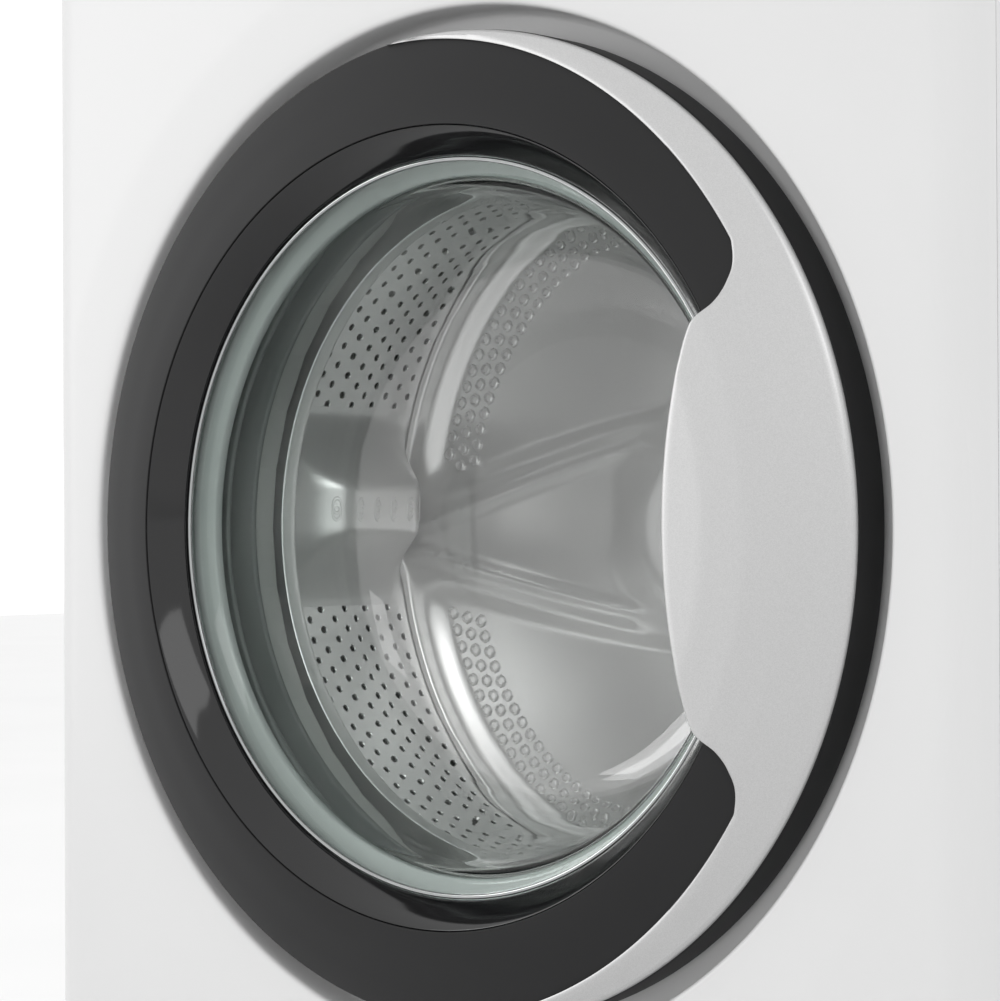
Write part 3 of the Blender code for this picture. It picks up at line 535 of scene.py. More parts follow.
def front_panel():
    """Pressed front panel: rings from the mouth over the recess floor, its wall and lip to the shallow
    dish, then a stretch from the dish's circle to the panel's four edges, and the folded edge."""
    dish, dish_r = settings().dish_depth, 0.297
    edge, side_points, stretch_rows = 0.0012, 168, 22
    half = PANEL_RIGHT - CORNER + CORNER * np.pi / 2 + (PANEL_BACK - PANEL_Y - CORNER)
    low, high = PANEL_LOW - AXIS_Z, PANEL_TOP - AXIS_Z
    corners = np.array([(half, low), (half, high), (-half, high), (-half, low), (half, low)])
    sides = [np.linspace(a, b, side_points, endpoint=False) for a, b in zip(corners[:-1], corners[1:])]
    border = np.concatenate(sides)
    angle = np.arctan2(border[:, 1], border[:, 0])
    circle = np.stack([np.cos(angle), np.sin(angle)], -1)

    def sunk(distance):
        return dish * np.clip((dish_r - distance) / (dish_r - RECESS_R), 0, 1)

    floor = [(r, RECESS_DEPTH) for r in (0.2060, SLOT_X[0], 0.2257, SLOT_X[1] + 0.0008)]
    profile = rounded([(MOUTH_R, RECESS_DEPTH + 0.0028), (MOUTH_R, RECESS_DEPTH), *floor,
                       (RECESS_R, RECESS_DEPTH), (RECESS_R, sunk(RECESS_R)), (0.2655, sunk(0.2655))],
                      [0, 0.0012, 0, 0, 0, 0, 0.0045, 0.0030, 0], closed=False)
    rings = [np.stack([circle[:, 0] * r, np.full(len(circle), PANEL_Y + d), AXIS_Z + circle[:, 1] * r], -1)
             for r, d in profile]
    for radius in np.linspace(0.2655, dish_r, 9)[1:]:
        rings.append(unrolled(circle[:, 0] * radius, AXIS_Z + circle[:, 1] * radius, sunk(radius)))
    for share in np.linspace(0, 1, stretch_rows)[1:]:
        at = (1 - share) * circle * dish_r + share * border
        rings.append(unrolled(at[:, 0], AXIS_Z + np.clip(at[:, 1], low + edge, high - edge)))
    for turn in np.linspace(0, np.pi / 2, 4)[1:]:
        fold = edge * (1 - np.sin(turn))
        row = unrolled(border[:, 0], AXIS_Z + np.clip(border[:, 1], low + fold, high - fold))
        row[:, 1] = np.minimum(row[:, 1] + edge * (1 - np.cos(turn)), PANEL_BACK)
        rings.append(row)
    last = rings[-1].copy()
    last[:, 1] = PANEL_BACK
    rings.append(last)
    points = np.stack(rings, 1)
    faces = quads(points, round_rows=True)
    middle = points.reshape(-1, 3)[faces].mean(1)
    reach = np.hypot(middle[:, 0], middle[:, 2] - AXIS_Z)
    in_slot = ((middle[:, 0] > 0) & (reach > SLOT_X[0]) & (reach < SLOT_X[1] + 0.0008)
               & (np.abs(middle[:, 2] - AXIS_Z) < SLOT_HALF)
               & (middle[:, 1] > PANEL_Y + RECESS_DEPTH - 0.001))
    return form("front_panel_skin", points, faces[~in_slot][:, ::-1], "root", "cabinet_white",
                ["front_panel"], closed=False, sharp=50)


def lock_frame():
    """Plastic frame round the slot for the door lock: a rounded section carried round a rectangle."""
    middle_x, half_x = (SLOT_X[0] + SLOT_X[1]) / 2, (SLOT_X[1] - SLOT_X[0]) / 2
    section = rounded([(-0.0002, 0.0012), (-0.0002, -0.0012), (0.0030, -0.0012), (0.0036, 0.0012)], 0.0005)
    corners = [(half_x, SLOT_HALF), (-half_x, SLOT_HALF), (-half_x, -SLOT_HALF), (half_x, -SLOT_HALF)]
    path = rounded(corners, 0.002)
    signs = np.sign(path)
    away, depth = section[None, :, 0], section[None, :, 1]
    points = np.stack([middle_x + path[:, None, 0] + signs[:, None, 0] * away,
                       PANEL_Y + RECESS_DEPTH + depth + 0 * path[:, None, 0],
                       AXIS_Z + path[:, None, 1] + signs[:, None, 1] * away], -1)
    form("lock_slot_frame", points, quads(points, True, True), "root", "dark_plastic")


def rear_cover():
    """Pressed round cover with two rings in its face."""
    low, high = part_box("rear_cover")
    face, rim = high[1] - PANEL_Y, low[1] - PANEL_Y
    outer = rounded([(0, face - 0.002), (0.060, face - 0.002), (0.064, face - 0.006), (0.072, face - 0.006),
                     (0.076, face - 0.0005), (0.128, face - 0.0005), (0.132, face - 0.004),
                     (0.140, face - 0.004), (0.144, face), (0.158, face), (0.178, rim + 0.0018),
                     (0.200, rim + 0.0016), (0.200, rim)], 0.0025, closed=False)
    inner = [(0.177, rim), (0.1565, face - 0.0020), (0.1440, face - 0.0070), (0, face - 0.0075)]
    points = turned(np.concatenate([outer, inner]), 128)
    form("rear_cover_pressing", points, quads(points, True), "root", "cabinet_white", ["rear_cover"])
    places = np.radians(np.arange(8) * 45 + 22.5)
    centres = np.stack([0.190 * np.cos(places), np.full(8, high[1] - (face - rim) + 0.0016),
                        AXIS_Z + 0.190 * np.sin(places)], -1)
    head = rounded([(0.0052, -0.0005), (0.0050, 0.0012), (0.0032, 0.0026), (0.0016, 0.0027), (0.0013, 0.0010),
                    (0, 0.0010)], 0.0006, closed=False)
    screws = collars(centres, alike((0.0, 1, 0), 8), alike((1.0, 0, 0), 8), head, sides=16)
    form("rear_cover_screws", *screws, "root", "zinc_steel", closed=False)


def soften_edges():
    """Small rounded edges on the cabinet's flat panels."""
    for node, width in (("top_panel", 0.0025), ("control_fascia", 0.0012), ("drawer_front", 0.0010),
                        ("plinth_panel", 0.0012), ("filter_flap", 0.0006), ("left_side_panel", 0.0005),
                        ("right_side_panel", 0.0005), ("option_button_1", 0.0006),
                        ("option_button_2", 0.0006), ("display_window", 0.0003)):
        piece = frame["nodes"][node]
        weld = piece.modifiers.new("weld", "WELD")
        weld.merge_threshold = 0.00001
        bevel = piece.modifiers.new("edges", "BEVEL")
        bevel.width = width
        bevel.segments = 3
        bevel.limit_method = "ANGLE"
        bevel.angle_limit = math.radians(50)
        bevel.harden_normals = True


# ---------------------------------------------------------------- control panel
def programme_knob():
    """Knob with a fluted skirt and a raised pointer."""
    low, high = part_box("programme_knob")
    middle_x, middle_z = (low[0] + high[0]) / 2, (low[2] + high[2]) / 2
    radius, length = (high[0] - low[0]) / 2, high[1] - low[1]
    profile = rounded([(0, 0.0012), (0.020, 0.0010), (0.0235, 0), (radius - 0.0012, 0.0012),
                       (radius, 0.0190), (radius, 0.0220), (0.004, 0.0220), (0.004, length), (0, length)],
                      [0, 0.002, 0.001, 0.0012, 0.001, 0.0005, 0.0005, 0.0005, 0], closed=False)
    angle = np.linspace(0, 2 * np.pi, 240, endpoint=False)[:, None]
    flute = 0.022 * smoothstep(0.0225, 0.0245, profile[None, :, 0]) * (profile[None, :, 1] < 0.0185)
    r = profile[None, :, 0] * (1 - flute * (0.5 - 0.5 * np.cos(40 * angle)) ** 2)
    points = np.stack([middle_x + r * np.cos(angle), low[1] + profile[None, :, 1] + 0 * angle,
                       middle_z + r * np.sin(angle)], -1)
    form("programme_knob_cap", points, quads(points, True), "knob", "handle_silver", ["programme_knob"])
    outline = rounded([(-0.0011, 0.010), (0.0011, 0.010), (0.0011, 0.0215), (-0.0011, 0.0215)], 0.0010)
    rise = np.array([0.0014, 0.0004, 0.0003])
    inset = np.array([1.0, 1.0, 0.7])
    centre = np.array([[0, 0.01575]])
    rows = [np.stack([middle_x + (outline[:, 0] * k), np.full(len(outline), low[1] + h),
                      middle_z + centre[0, 1] + (outline[:, 1] - centre[0, 1]) * k], -1)
            for k, h in zip(inset, rise)]
    rows.append(np.tile([[middle_x, low[1] + 0.0003, middle_z + centre[0, 1]]], (len(outline), 1)))
    points = np.stack(rows, 1)
    form("knob_pointer", points, quads(points, True), "knob", "dark_plastic", closed=False)


def dial_marks():
    """Moulded dots round the knob, every 24 degrees, and the lamps over the display."""
    low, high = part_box("programme_knob")
    centre = np.array([(low[0] + high[0]) / 2, PANEL_Y, (low[2] + high[2]) / 2])
    turn = np.radians(90 + 24 * np.arange(15))
    centres = centre + 0.0345 * np.stack([np.cos(turn), 0 * turn, np.sin(turn)], -1)
    dot = [(0.0013, -0.0001), (0.0012, 0.0003), (0.0007, 0.0004), (0, 0.0004)]
    forward = alike((0.0, -1, 0), len(centres))
    form("dial_marks", *collars(centres, forward, alike((1.0, 0, 0), len(centres)), dot),
         "root", "dark_plastic", closed=False)
    low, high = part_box("display_window")
    xs = np.linspace(low[0] + 0.012, high[0] - 0.012, 5)
    lamps = np.stack([xs, np.full(5, low[1]), np.full(5, low[2] + 0.008)], -1)
    bar = [(0.0016, -0.0001), (0.0015, 0.00025), (0, 0.0003)]
    form("display_lamps", *collars(lamps, alike((0.0, -1, 0), 5), alike((1.0, 0, 0), 5), bar,
                                   stretch=2.0), "root", "bright_trim", closed=False)


def round_buttons():
    """Domed round buttons with a fine groove near the rim."""
    for node, body in (("power_button", "power"), ("start_button", "start")):
        low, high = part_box(node)
        middle_x, middle_z = (low[0] + high[0]) / 2, (low[2] + high[2]) / 2
        radius, length = (high[0] - low[0]) / 2, high[1] - low[1]
        profile = rounded([(0, 0.0004), (radius * 0.70, 0.0002), (radius * 0.78, 0.0007),
                           (radius * 0.86, 0.0), (radius, 0.0006), (radius, length), (0, length)],
                          [0, 0.001, 0.0005, 0.0006, 0.0006, 0, 0], closed=False)
        points = turned(profile, 64)
        points += np.array([middle_x, low[1] - PANEL_Y, middle_z - AXIS_Z])
        form(node + "_cap", points, quads(points, True), body, "handle_silver", [node])


# ---------------------------------------------------------------- door
def plate_top(radius):
    """Depth of the silver plate's outer face at a radius: a dome that falls faster outside its crease."""
    return np.interp(radius, [0.150, 0.175, 0.197, 0.215, 0.2310, 0.2435, 0.245],
                     [-0.0250, -0.0244, -0.0220, -0.0175, -0.0118, -0.0067, -0.0051])


def plate_inner_edge():
    """Inner outline of the plate, upper half, as (x, z) from the axis: the grip's arc, the scoop, and the
    crescent's arc R(a) = c cos a + sqrt(q^2 - (c sin a)^2), whose centre c lies left of the axis."""
    reach, middle = 0.305, 0.457
    turn = np.linspace(0, math.asin(0.085 / reach), 14)
    grip = np.stack([middle - reach * np.cos(turn), reach * np.sin(turn)], -1)
    scoop = rounded([grip[-1], (0.1668, 0.0925), (0.1715, 0.0960), (0.1775, 0.1000), (0.1825, 0.1065),
                     (0.1857, 0.1150), (0.1856, 0.1215), (0.1838, 0.1290)], 0.0045, 6, closed=False)
    shift, q = -0.0212, 0.2422
    angle = np.radians(np.linspace(35.2, 98, 80))
    r = shift * np.cos(angle) + np.sqrt(q ** 2 - (shift * np.sin(angle)) ** 2)
    crescent = np.stack([r * np.cos(angle), r * np.sin(angle)], -1)
    return evenly(np.concatenate([grip[:-1], scoop, crescent]), 260)


def handle_plate():
    """Silver plate over the door's right half: rows from the inner outline out to the rim along the radius,
    with a rolled inner edge, a slim outer edge and an underside."""
    upper = plate_inner_edge()
    inner = np.concatenate([upper[::-1], upper[1:] * [1, -1]])
    angle = np.unwrap(np.arctan2(inner[:, 1], inner[:, 0]))
    rim = DOOR_R - 0.0004
    start = np.minimum(np.hypot(inner[:, 0], inner[:, 1]), rim)
    start[[0, -1]] = rim
    width = rim - start
    thick = 0.0026
    steep = 0.0022 + 0.0045 * smoothstep(math.radians(32), math.radians(60), np.abs(angle))
    rows = []
    for share, drop in ((0, thick), (0, 0.0011), (0.10, 0.0006), (0.32, 0.00025), (1.0, 0.0)):
        rows.append((start + np.minimum(steep * share, 0.45 * width), drop))
    first = start + np.minimum(steep, 0.45 * width)
    last = rim - np.minimum(0.0016, 0.3 * width)
    for share in np.linspace(0, 1, 34)[1:]:
        rows.append((first + (last - first) * share, 0.0))
    for away, drop in ((0.0005, 0.0003), (0.0, 0.0010), (0.0, 0.0022)):
        rows.append((rim - np.minimum(away, 0.1 * width), drop))
    for share in (0.85, 0.6, 0.35, 0.12):
        rows.append((start + width * share, thick))
    points = []
    for radius, drop in rows:
        radius = np.broadcast_to(radius, angle.shape)
        points.append(np.stack([radius * np.cos(angle), PANEL_Y + plate_top(radius) + drop,
                                AXIS_Z + radius * np.sin(angle)], -1))
    points = np.stack(points, 1)
    form("handle_plate_shell", points, quads(points, round_columns=True), "door", "handle_silver",
         ["handle_plate"], sharp=60)


def door_rings():
    """The dark outer ring, the gloss black cone inside it, the fine trim and the frame behind the glass."""
    steps = settings().ring_steps
    notch = (-0.260, -0.0028, AXIS_Z - 0.042), (-0.226, 0.035, AXIS_Z + 0.042)
    pocket = ((POCKET_X[0], -0.045, AXIS_Z - POCKET_HALF), (POCKET_X[1], 0.0138, AXIS_Z + POCKET_HALF))
    profile = rounded([(CREST_R + 0.0001, -0.0192), (0.2100, -0.0166), (0.2320, -0.0092), (0.2445, -0.0042),
                       (DOOR_R, -0.0020), (DOOR_R, 0.0175), (DOOR_R - 0.0025, 0.0175),
                       (DOOR_R - 0.0025, -0.0012), (0.221, -0.0090), (CREST_R + 0.0001, -0.0150)],
                      [0.0006, 0.006, 0.004, 0.0008, 0.0010, 0.0008, 0.0008, 0.002, 0.003, 0.0006])
    points = turned(profile, steps)
    ring = form("door_outer_ring_skin", points, quads(points, True, True), "door", "door_grey",
                ["door_outer_ring"])
    cut_box(ring, *notch)
    cut_box(ring, *pocket)
    profile = rounded([(CREST_R - 0.0003, -0.0190), (0.1925, -0.0148), (0.1860, -0.0066), (0.1835, -0.0030),
                       (0.1835, 0.0), (0.1865, 0.0), (CREST_R - 0.0003, -0.0135)],
                      [0.0012, 0.004, 0.003, 0.001, 0.0006, 0.001, 0.0006])
    points = turned(profile, steps)
    bezel = form("door_bezel_cone", points, quads(points, True, True), "door", "bezel_black", ["door_bezel"])
    cut_box(bezel, *pocket)
    profile = rounded([(0.1807, -0.0022), (0.1831, -0.0022), (0.1831, 0.0005), (0.1807, 0.0005)], 0.0011, 6)
    points = turned(profile, steps)
    form("glass_trim_wire", points, quads(points, True, True), "door", "bright_trim", ["glass_trim_ring"])
    profile = rounded([(0.2418, 0.0150), (0.2418, 0.0175), (0.2300, 0.0175), (0.2260, 0.0163),
                       (0.2020, 0.0163), (0.1980, 0.0175), (0.1765, 0.0175), (0.1765, 0.0120),
                       (0.1845, 0.0085), (0.1885, 0.0085), (0.1885, 0.0140)], 0.0012)
    points = turned(profile, steps)
    back = form("door_inner_frame_skin", points, quads(points, True, True), "door", "frame_grey",
                ["door_inner_frame"])
    cut_box(back, *notch)
    cut_box(back, (0.2125, 0.005, AXIS_Z - 0.009), (0.2305, 0.025, AXIS_Z + 0.009))
    turn = np.radians(np.arange(12) * 30 + 15)
    centres = np.stack([0.2140 * np.cos(turn), np.full(12, PANEL_Y + 0.0163), AXIS_Z + 0.2140 * np.sin(turn)],
                       -1)
    head = rounded([(0.0044, -0.0004), (0.0042, 0.0007), (0.0030, 0.0012), (0.0017, 0.0012), (0.0014, 0.0002),
                    (0, 0.0002)], 0.0004, closed=False)
    form("door_frame_screws", *collars(centres, alike((0.0, 1, 0), 12),
                                       alike((1.0, 0, 0), 12), head, sides=14),
         "door", "zinc_steel", closed=False)


BOWL_OUTER = [(0.187, 0.007), (0.176, 0.011), (0.172, 0.025), (0.168, 0.060), (0.163, 0.087), (0.152, 0.106),
              (0.134, 0.117), (0.105, 0.122), (0, 0.124)]
BOWL_INNER = [(0, 0.119), (0.104, 0.117), (0.131, 0.1122), (0.1475, 0.1022), (0.158, 0.085), (0.163, 0.058),
              (0.1665, 0.025), (0.171, 0.009), (0.180, 0.0008), (0.187, 0.0008)]


def glass_bowl():
    """Pressed glass bowl, a closed shell of two turned faces joined at the flange."""
    outer = rounded(BOWL_OUTER, [0.001, 0.004, 0.02, 0.02, 0.02, 0.02, 0.02, 0.02, 0], 7, closed=False)
    inner = rounded(BOWL_INNER, [0, 0.02, 0.02, 0.02, 0.02, 0.02, 0.02, 0.006, 0.006, 0.001], 7, closed=False)
    flange = np.array([BOWL_OUTER[0]])
    profile = np.concatenate([inner, flange, outer])
    points = turned(profile, settings().ring_steps)
    form("door_bowl_glass", points, quads(points, True), "door", "bowl_glass", ["door_bowl"], sharp=70)


def door_seal():
    """Bellows from the panel's mouth to the neck of the tub. It flexes between them."""
    profile = rounded([(0.1990, 0.0190), (0.1990, 0.0275), (0.2100, 0.0300),
                       (0.2100, 0.0420), (0.1985, 0.0460),
                       (0.1985, 0.0650), (0.1952, 0.0650), (0.1952, 0.0488), (0.1830, 0.0488),
                       (0.1830, 0.0458), (0.2065, 0.0390), (0.2065, 0.0322), (0.1800, 0.0270),
                       (0.1800, 0.0240), (0.1958, 0.0250), (0.1958, 0.0190)],
                      [0.001, 0.002, 0.004, 0.004, 0.002, 0.001, 0.001, 0.002, 0.0014, 0.0014, 0.003, 0.003,
                       0.0014, 0.0014, 0.002, 0.001], 6)
    points = turned(profile, 224)
    seal = form("door_gasket_bellows", points, quads(points, True, True), None, "grey_rubber",
                ["door_gasket"])
    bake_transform(seal)


# ---------------------------------------------------------------- drum
def drum_shell():
    """Drum sheet: a grid of cells round the wall, each a square of eight points joined to a round hole, every
    other ring turned by half a cell, between a plain front cone with its rolled lip and a plain rear band."""
    s = settings()
    first, last = 0.0965, BACK_DEPTH - 0.020
    rings = max(2, round((last - first) / s.hole_pitch))
    around = max(24, round(2 * np.pi * DRUM_R / s.hole_spacing))
    tall, wide = (last - first) / rings, 2 * np.pi / around
    square = np.array([(-1, -1), (0, -1), (1, -1), (1, 0), (1, 1), (0, 1), (-1, 1), (-1, 0)]) / 2
    heading = np.arctan2(square[:, 1], square[:, 0])
    hole = s.hole_width / 2 * np.stack([np.cos(heading) / (DRUM_R * wide), np.sin(heading) / tall], -1)
    layers = np.stack([square, hole * 1.18, hole, hole])
    radii = DRUM_R + np.array([0, 0, 0.0004, s.sheet])[:, None]
    ring, place = np.meshgrid(np.arange(rings), np.arange(around), indexing="ij")
    angle = (place + 0.5 * (ring % 2))[..., None, None] * wide + layers[..., 0] * wide
    depth = first + (ring[..., None, None] + 0.5 + layers[..., 1]) * tall
    radii = np.broadcast_to(radii, angle.shape)
    cells = np.stack([radii * np.cos(angle), PANEL_Y + depth, AXIS_Z + radii * np.sin(angle)], -1)
    cells = cells.reshape(-1, 4, 8, 3)
    one = quads(cells[0], round_columns=True)
    faces = (one[None] + 32 * np.arange(len(cells))[:, None, None]).reshape(-1, 4)
    wall = cells.reshape(-1, 3), faces
    front = turned(rounded([(0.1795, 0.0640), (0.1795, 0.0752), (0.2360, 0.0812), (DRUM_R + 0.0015, 0.0890),
                            (DRUM_R + 0.0015, first), (DRUM_R, first), (DRUM_R, 0.0905), (0.2345, 0.0832),
                            (0.1835, 0.0772), (0.1780, 0.0740), (0.1780, 0.0640), (0.1787, 0.0630)],
                           [0.0004, 0.001, 0.004, 0.006, 0, 0, 0.007, 0.006, 0.003, 0.004, 0.0006, 0.0004]),
                   around * 2)
    rear = turned([(DRUM_R, last), (DRUM_R + 0.0015, last), (DRUM_R + 0.0015, BACK_DEPTH),
                   (DRUM_R, BACK_DEPTH)], around * 2)
    plain = joined((front, quads(front, True, True)), (rear, quads(rear, True, True)))
    form("drum_shell_plain", *plain, "drum", "drum_steel", ["drum_shell"])
    form("drum_shell_perforated", *wall, "drum", "drum_steel", closed=False)


def lobe_edge(radius, angle):
    """How far a point of the drum's back lies inside the nearest lobe: the soft least of its distances to
    the spoke, which widens towards the hub, and to the rim, as -k log(sum exp(-d / k))."""
    spoke = math.radians(182)
    third = 2 * np.pi / 3
    off = (angle - spoke + third / 2) % third - third / 2
    aside = radius * np.abs(np.sin(off))
    half_width = 0.031 + 0.26 * (0.210 - radius)
    k = 0.009
    return -k * np.log(np.exp(-(aside - half_width) / k) + np.exp(-(0.224 - radius) / k))


def back_depth(radius, angle):
    """Depth of the drum's back: three flat lobes, a rim and a star of spokes standing forward round them, a
    bead along each spoke's border, a hub and a rounded corner at the wall."""
    inside = lobe_edge(radius, angle)
    flat = DRUM_FLOOR - 0.016 * (1 - smoothstep(0.040, 0.085, radius))
    star = settings().lobe_depth * (1 - smoothstep(-0.006, 0.008, inside))
    bead = 0.0042 * np.exp(-((inside + 0.0200) / 0.0040) ** 2) * smoothstep(0.060, 0.090, radius)
    corner, wall = 0.003, DRUM_R - 0.0008
    turn = np.clip(radius - (wall - corner), 0, corner)
    curl = corner - np.sqrt(np.maximum(corner ** 2 - turn ** 2, 0))
    return flat - star - bead - curl


def drum_back():
    """Pressed back of the drum on a polar grid, with a plain rear face, and the studs in its lobes."""
    angle = np.linspace(0, 2 * np.pi, 360, endpoint=False)[:, None]
    radius = np.r_[np.linspace(0, 0.228, 100), np.linspace(0.2295, DRUM_R - 0.0008, 12)][None]
    depth = back_depth(radius, angle)
    face = np.stack([radius * np.cos(angle), PANEL_Y + depth, AXIS_Z + radius * np.sin(angle)], -1)
    rear = turned([(DRUM_R - 0.0008, BACK_DEPTH - 0.003), (0.200, DRUM_FLOOR + 0.0035),
                   (0.095, DRUM_FLOOR + 0.0035), (0.060, DRUM_FLOOR + 0.010), (0, DRUM_FLOOR + 0.010)], 360)
    points = np.concatenate([face, rear], 1)
    form("drum_back_pressing", points, quads(points, True), "drum", "drum_steel", ["drum_back"], sharp=60)

    rows = np.array([0.2130, 0.2030, 0.1930])
    turns = np.radians(np.arange(0, 360, 2.9))
    r = np.repeat(rows, len(turns))
    a = np.concatenate([turns + math.radians(1.45) * (k % 2) for k in range(len(rows))])
    keep = lobe_edge(r, a) > 0.0065
    r, a = r[keep], a[keep]
    centres = np.stack([r * np.cos(a), PANEL_Y + back_depth(r, a), AXIS_Z + r * np.sin(a)], -1)
    stud = [(0.0043, -0.0003), (0.0037, 0.0014), (0.0028, 0.0019), (0.0020, 0.0004), (0, 0.0002)]
    form("drum_back_studs", *collars(centres, alike((0.0, -1, 0), len(r)),
                                     alike((1.0, 0, 0), len(r)), stud, sides=8),
         "drum", "drum_steel", closed=False)


def lifter_radius(across, along, height):
    """Radius of a lifter's face: the wall less a hump, eased across to a flat crest and at both ends."""
    hump = smoothstep(0, 0.80, 1 - np.abs(across))
    ends = np.sqrt(smoothstep(0, 0.30, along) * smoothstep(0, 0.30, 1 - along))
    return DRUM_R - 0.0002 - height * hump * ends


def lifters():
    """Three hollow lifters: the hump on a grid of u along the drum and v across, with a closed foot, and
    a row of drain slots beside each crest."""
    half, height = math.radians(14.5), 0.046
    for number in range(3):
        node = f"drum_lifter_{number + 1}"
        low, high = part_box(node)
        heading = math.radians(57 + 120 * number)
        start, length = low[1] - PANEL_Y, high[1] - low[1]
        u = np.linspace(0, 1, 70)[:, None]
        u = 0.5 - 0.5 * np.cos(np.pi * u)
        v = np.linspace(-1, 1, 49)[None]
        top = lifter_radius(v, u, height)
        foot_v = np.linspace(1, -1, 9)[None]
        radius = np.concatenate([top, np.full((len(u), 9), DRUM_R - 0.0002)], 1)
        angle = heading + half * np.concatenate([v, foot_v], 1) + 0 * u
        depth = start + length * u + 0 * angle
        points = np.stack([radius * np.cos(angle), PANEL_Y + depth, AXIS_Z + radius * np.sin(angle)], -1)
        form(f"drum_lifter_{number + 1}_pressing", points, quads(points, round_columns=True), "drum",
             "drum_steel", [node], sharp=60)
        spots_u, spots = np.linspace(0.2, 0.8, 6), []
        for side in (-0.04, 0.04):
            def at(u_value, v_value):
                r = lifter_radius(v_value, u_value, height)
                a = heading + half * v_value
                return np.stack([r * np.cos(a), PANEL_Y + start + length * u_value + 0 * r,
                                 AXIS_Z + r * np.sin(a)], -1)
            here = at(spots_u, np.full(6, side))
            ahead = at(spots_u + 0.001, np.full(6, side)) - here
            aside = at(spots_u, np.full(6, side + 0.001)) - here
            outward = np.cross(ahead, aside)
            axis_way = -here + np.array([0, 0, AXIS_Z])
            outward *= np.sign((outward * axis_way * [1, 0, 1]).sum(-1, keepdims=True))
            spots.append((here, outward, aside))
        slot = [(0.0034, -0.0004), (0.0030, 0.0005), (0.0022, 0.0006), (0.0019, 0.0), (0, 0.0001)]
        here, outward, aside = (np.concatenate([spot[k] for spot in spots]) for k in range(3))
        form(f"drum_lifter_{number + 1}_slots", *collars(here, outward, aside, slot, 1.7, 12), "drum",
             "drum_steel", closed=False)


# ---------------------------------------------------------------- suspension and hose
def springs():
    """Coil springs: a helix p(t) = (r cos t, r sin t, z) with straight hooked ends. They stretch between the
    cabinet and the tub."""
    s = settings()
    for side in ("left", "right"):
        node = f"suspension_spring_{side}"
        low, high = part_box(node)
        x, y = (low[0] + high[0]) / 2, (low[1] + high[1]) / 2
        radius = (high[0] - low[0]) / 2 - s.spring_wire
        t = np.linspace(0, 1, s.spring_turns * 20)
        turn = 2 * np.pi * s.spring_turns * t
        ease = np.sin(np.pi * np.clip(t * 12, 0, 0.5)) * np.sin(np.pi * np.clip((1 - t) * 12, 0, 0.5))
        z = low[2] + 0.010 + (high[2] - low[2] - 0.020) * t
        coil = np.stack([x + radius * ease * np.cos(turn), y + radius * ease * np.sin(turn), z], -1)
        path = np.concatenate([[(x, y, low[2] + 0.001)], coil, [(x, y, high[2] - 0.001)]])
        points = tube(path, s.spring_wire)
        spring = form(f"{node}_coil", points, quads(points, round_columns=True), None, "zinc_steel", [node])
        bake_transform(spring)


def sump_hose():
    """Corrugated hose under the tub: radius r + a cos(waves z), plain at both cuffs."""
    low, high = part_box("sump_hose")
    x, y = (low[0] + high[0]) / 2, (low[1] + high[1]) / 2
    outer, wall = (high[0] - low[0]) / 2, 0.0018
    t = np.linspace(0, 1, 120)
    cuff = smoothstep(0.10, 0.16, t) * smoothstep(0.10, 0.16, 1 - t)
    r = outer - 0.0022 * cuff * (0.5 - 0.5 * np.cos(2 * np.pi * 9 * t))
    z = low[2] + (high[2] - low[2]) * t
    r, z = np.r_[r, r[::-1] - wall], np.r_[z, z[::-1]]
    angle = np.linspace(0, 2 * np.pi, 40, endpoint=False)[:, None]
    points = np.stack([x + r * np.cos(angle), y + r * np.sin(angle), z + 0 * angle], -1)
    hose = form("sump_hose_bellows", points, quads(points, True, True), None, "black_rubber", ["sump_hose"])
    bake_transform(hose)


# ---------------------------------------------------------------- stage
def area_light(name, place, target, size, power, colour=(1, 1, 1)):
    light = bpy.data.lights.new(name, "AREA")
    light.shape = "RECTANGLE"
    light.size, light.size_y = size
    light.energy = power
    light.color = colour
    lamp = bpy.data.objects.new(name, light)
    lamp.location = place
    lamp.visible_camera = False
    lamp.rotation_euler = (Vector(target) - Vector(place)).to_track_quat("-Z", "Y").to_euler()
    bpy.context.collection.objects.link(lamp)
    return lamp


def camera():
    """Camera right of the door, square on to its height."""
    s = settings()
    data = bpy.data.cameras.new("camera")
    data.lens = s.lens
    data.sensor_width = 36.0
    data.clip_start, data.clip_end = 0.05, 60.0
    eye = bpy.data.objects.new("camera", data)
    pan, tilt, roll = (math.radians(v) for v in (s.camera_pan, s.camera_tilt, s.camera_roll))
    eye.matrix_world = (Matrix.Translation(s.camera_place) @ Matrix.Rotation(pan, 4, "Z")
                        @ Matrix.Rotation(math.pi / 2 + tilt, 4, "X") @ Matrix.Rotation(roll, 4, "Z"))
    bpy.context.collection.objects.link(eye)
    bpy.context.scene.camera = eye


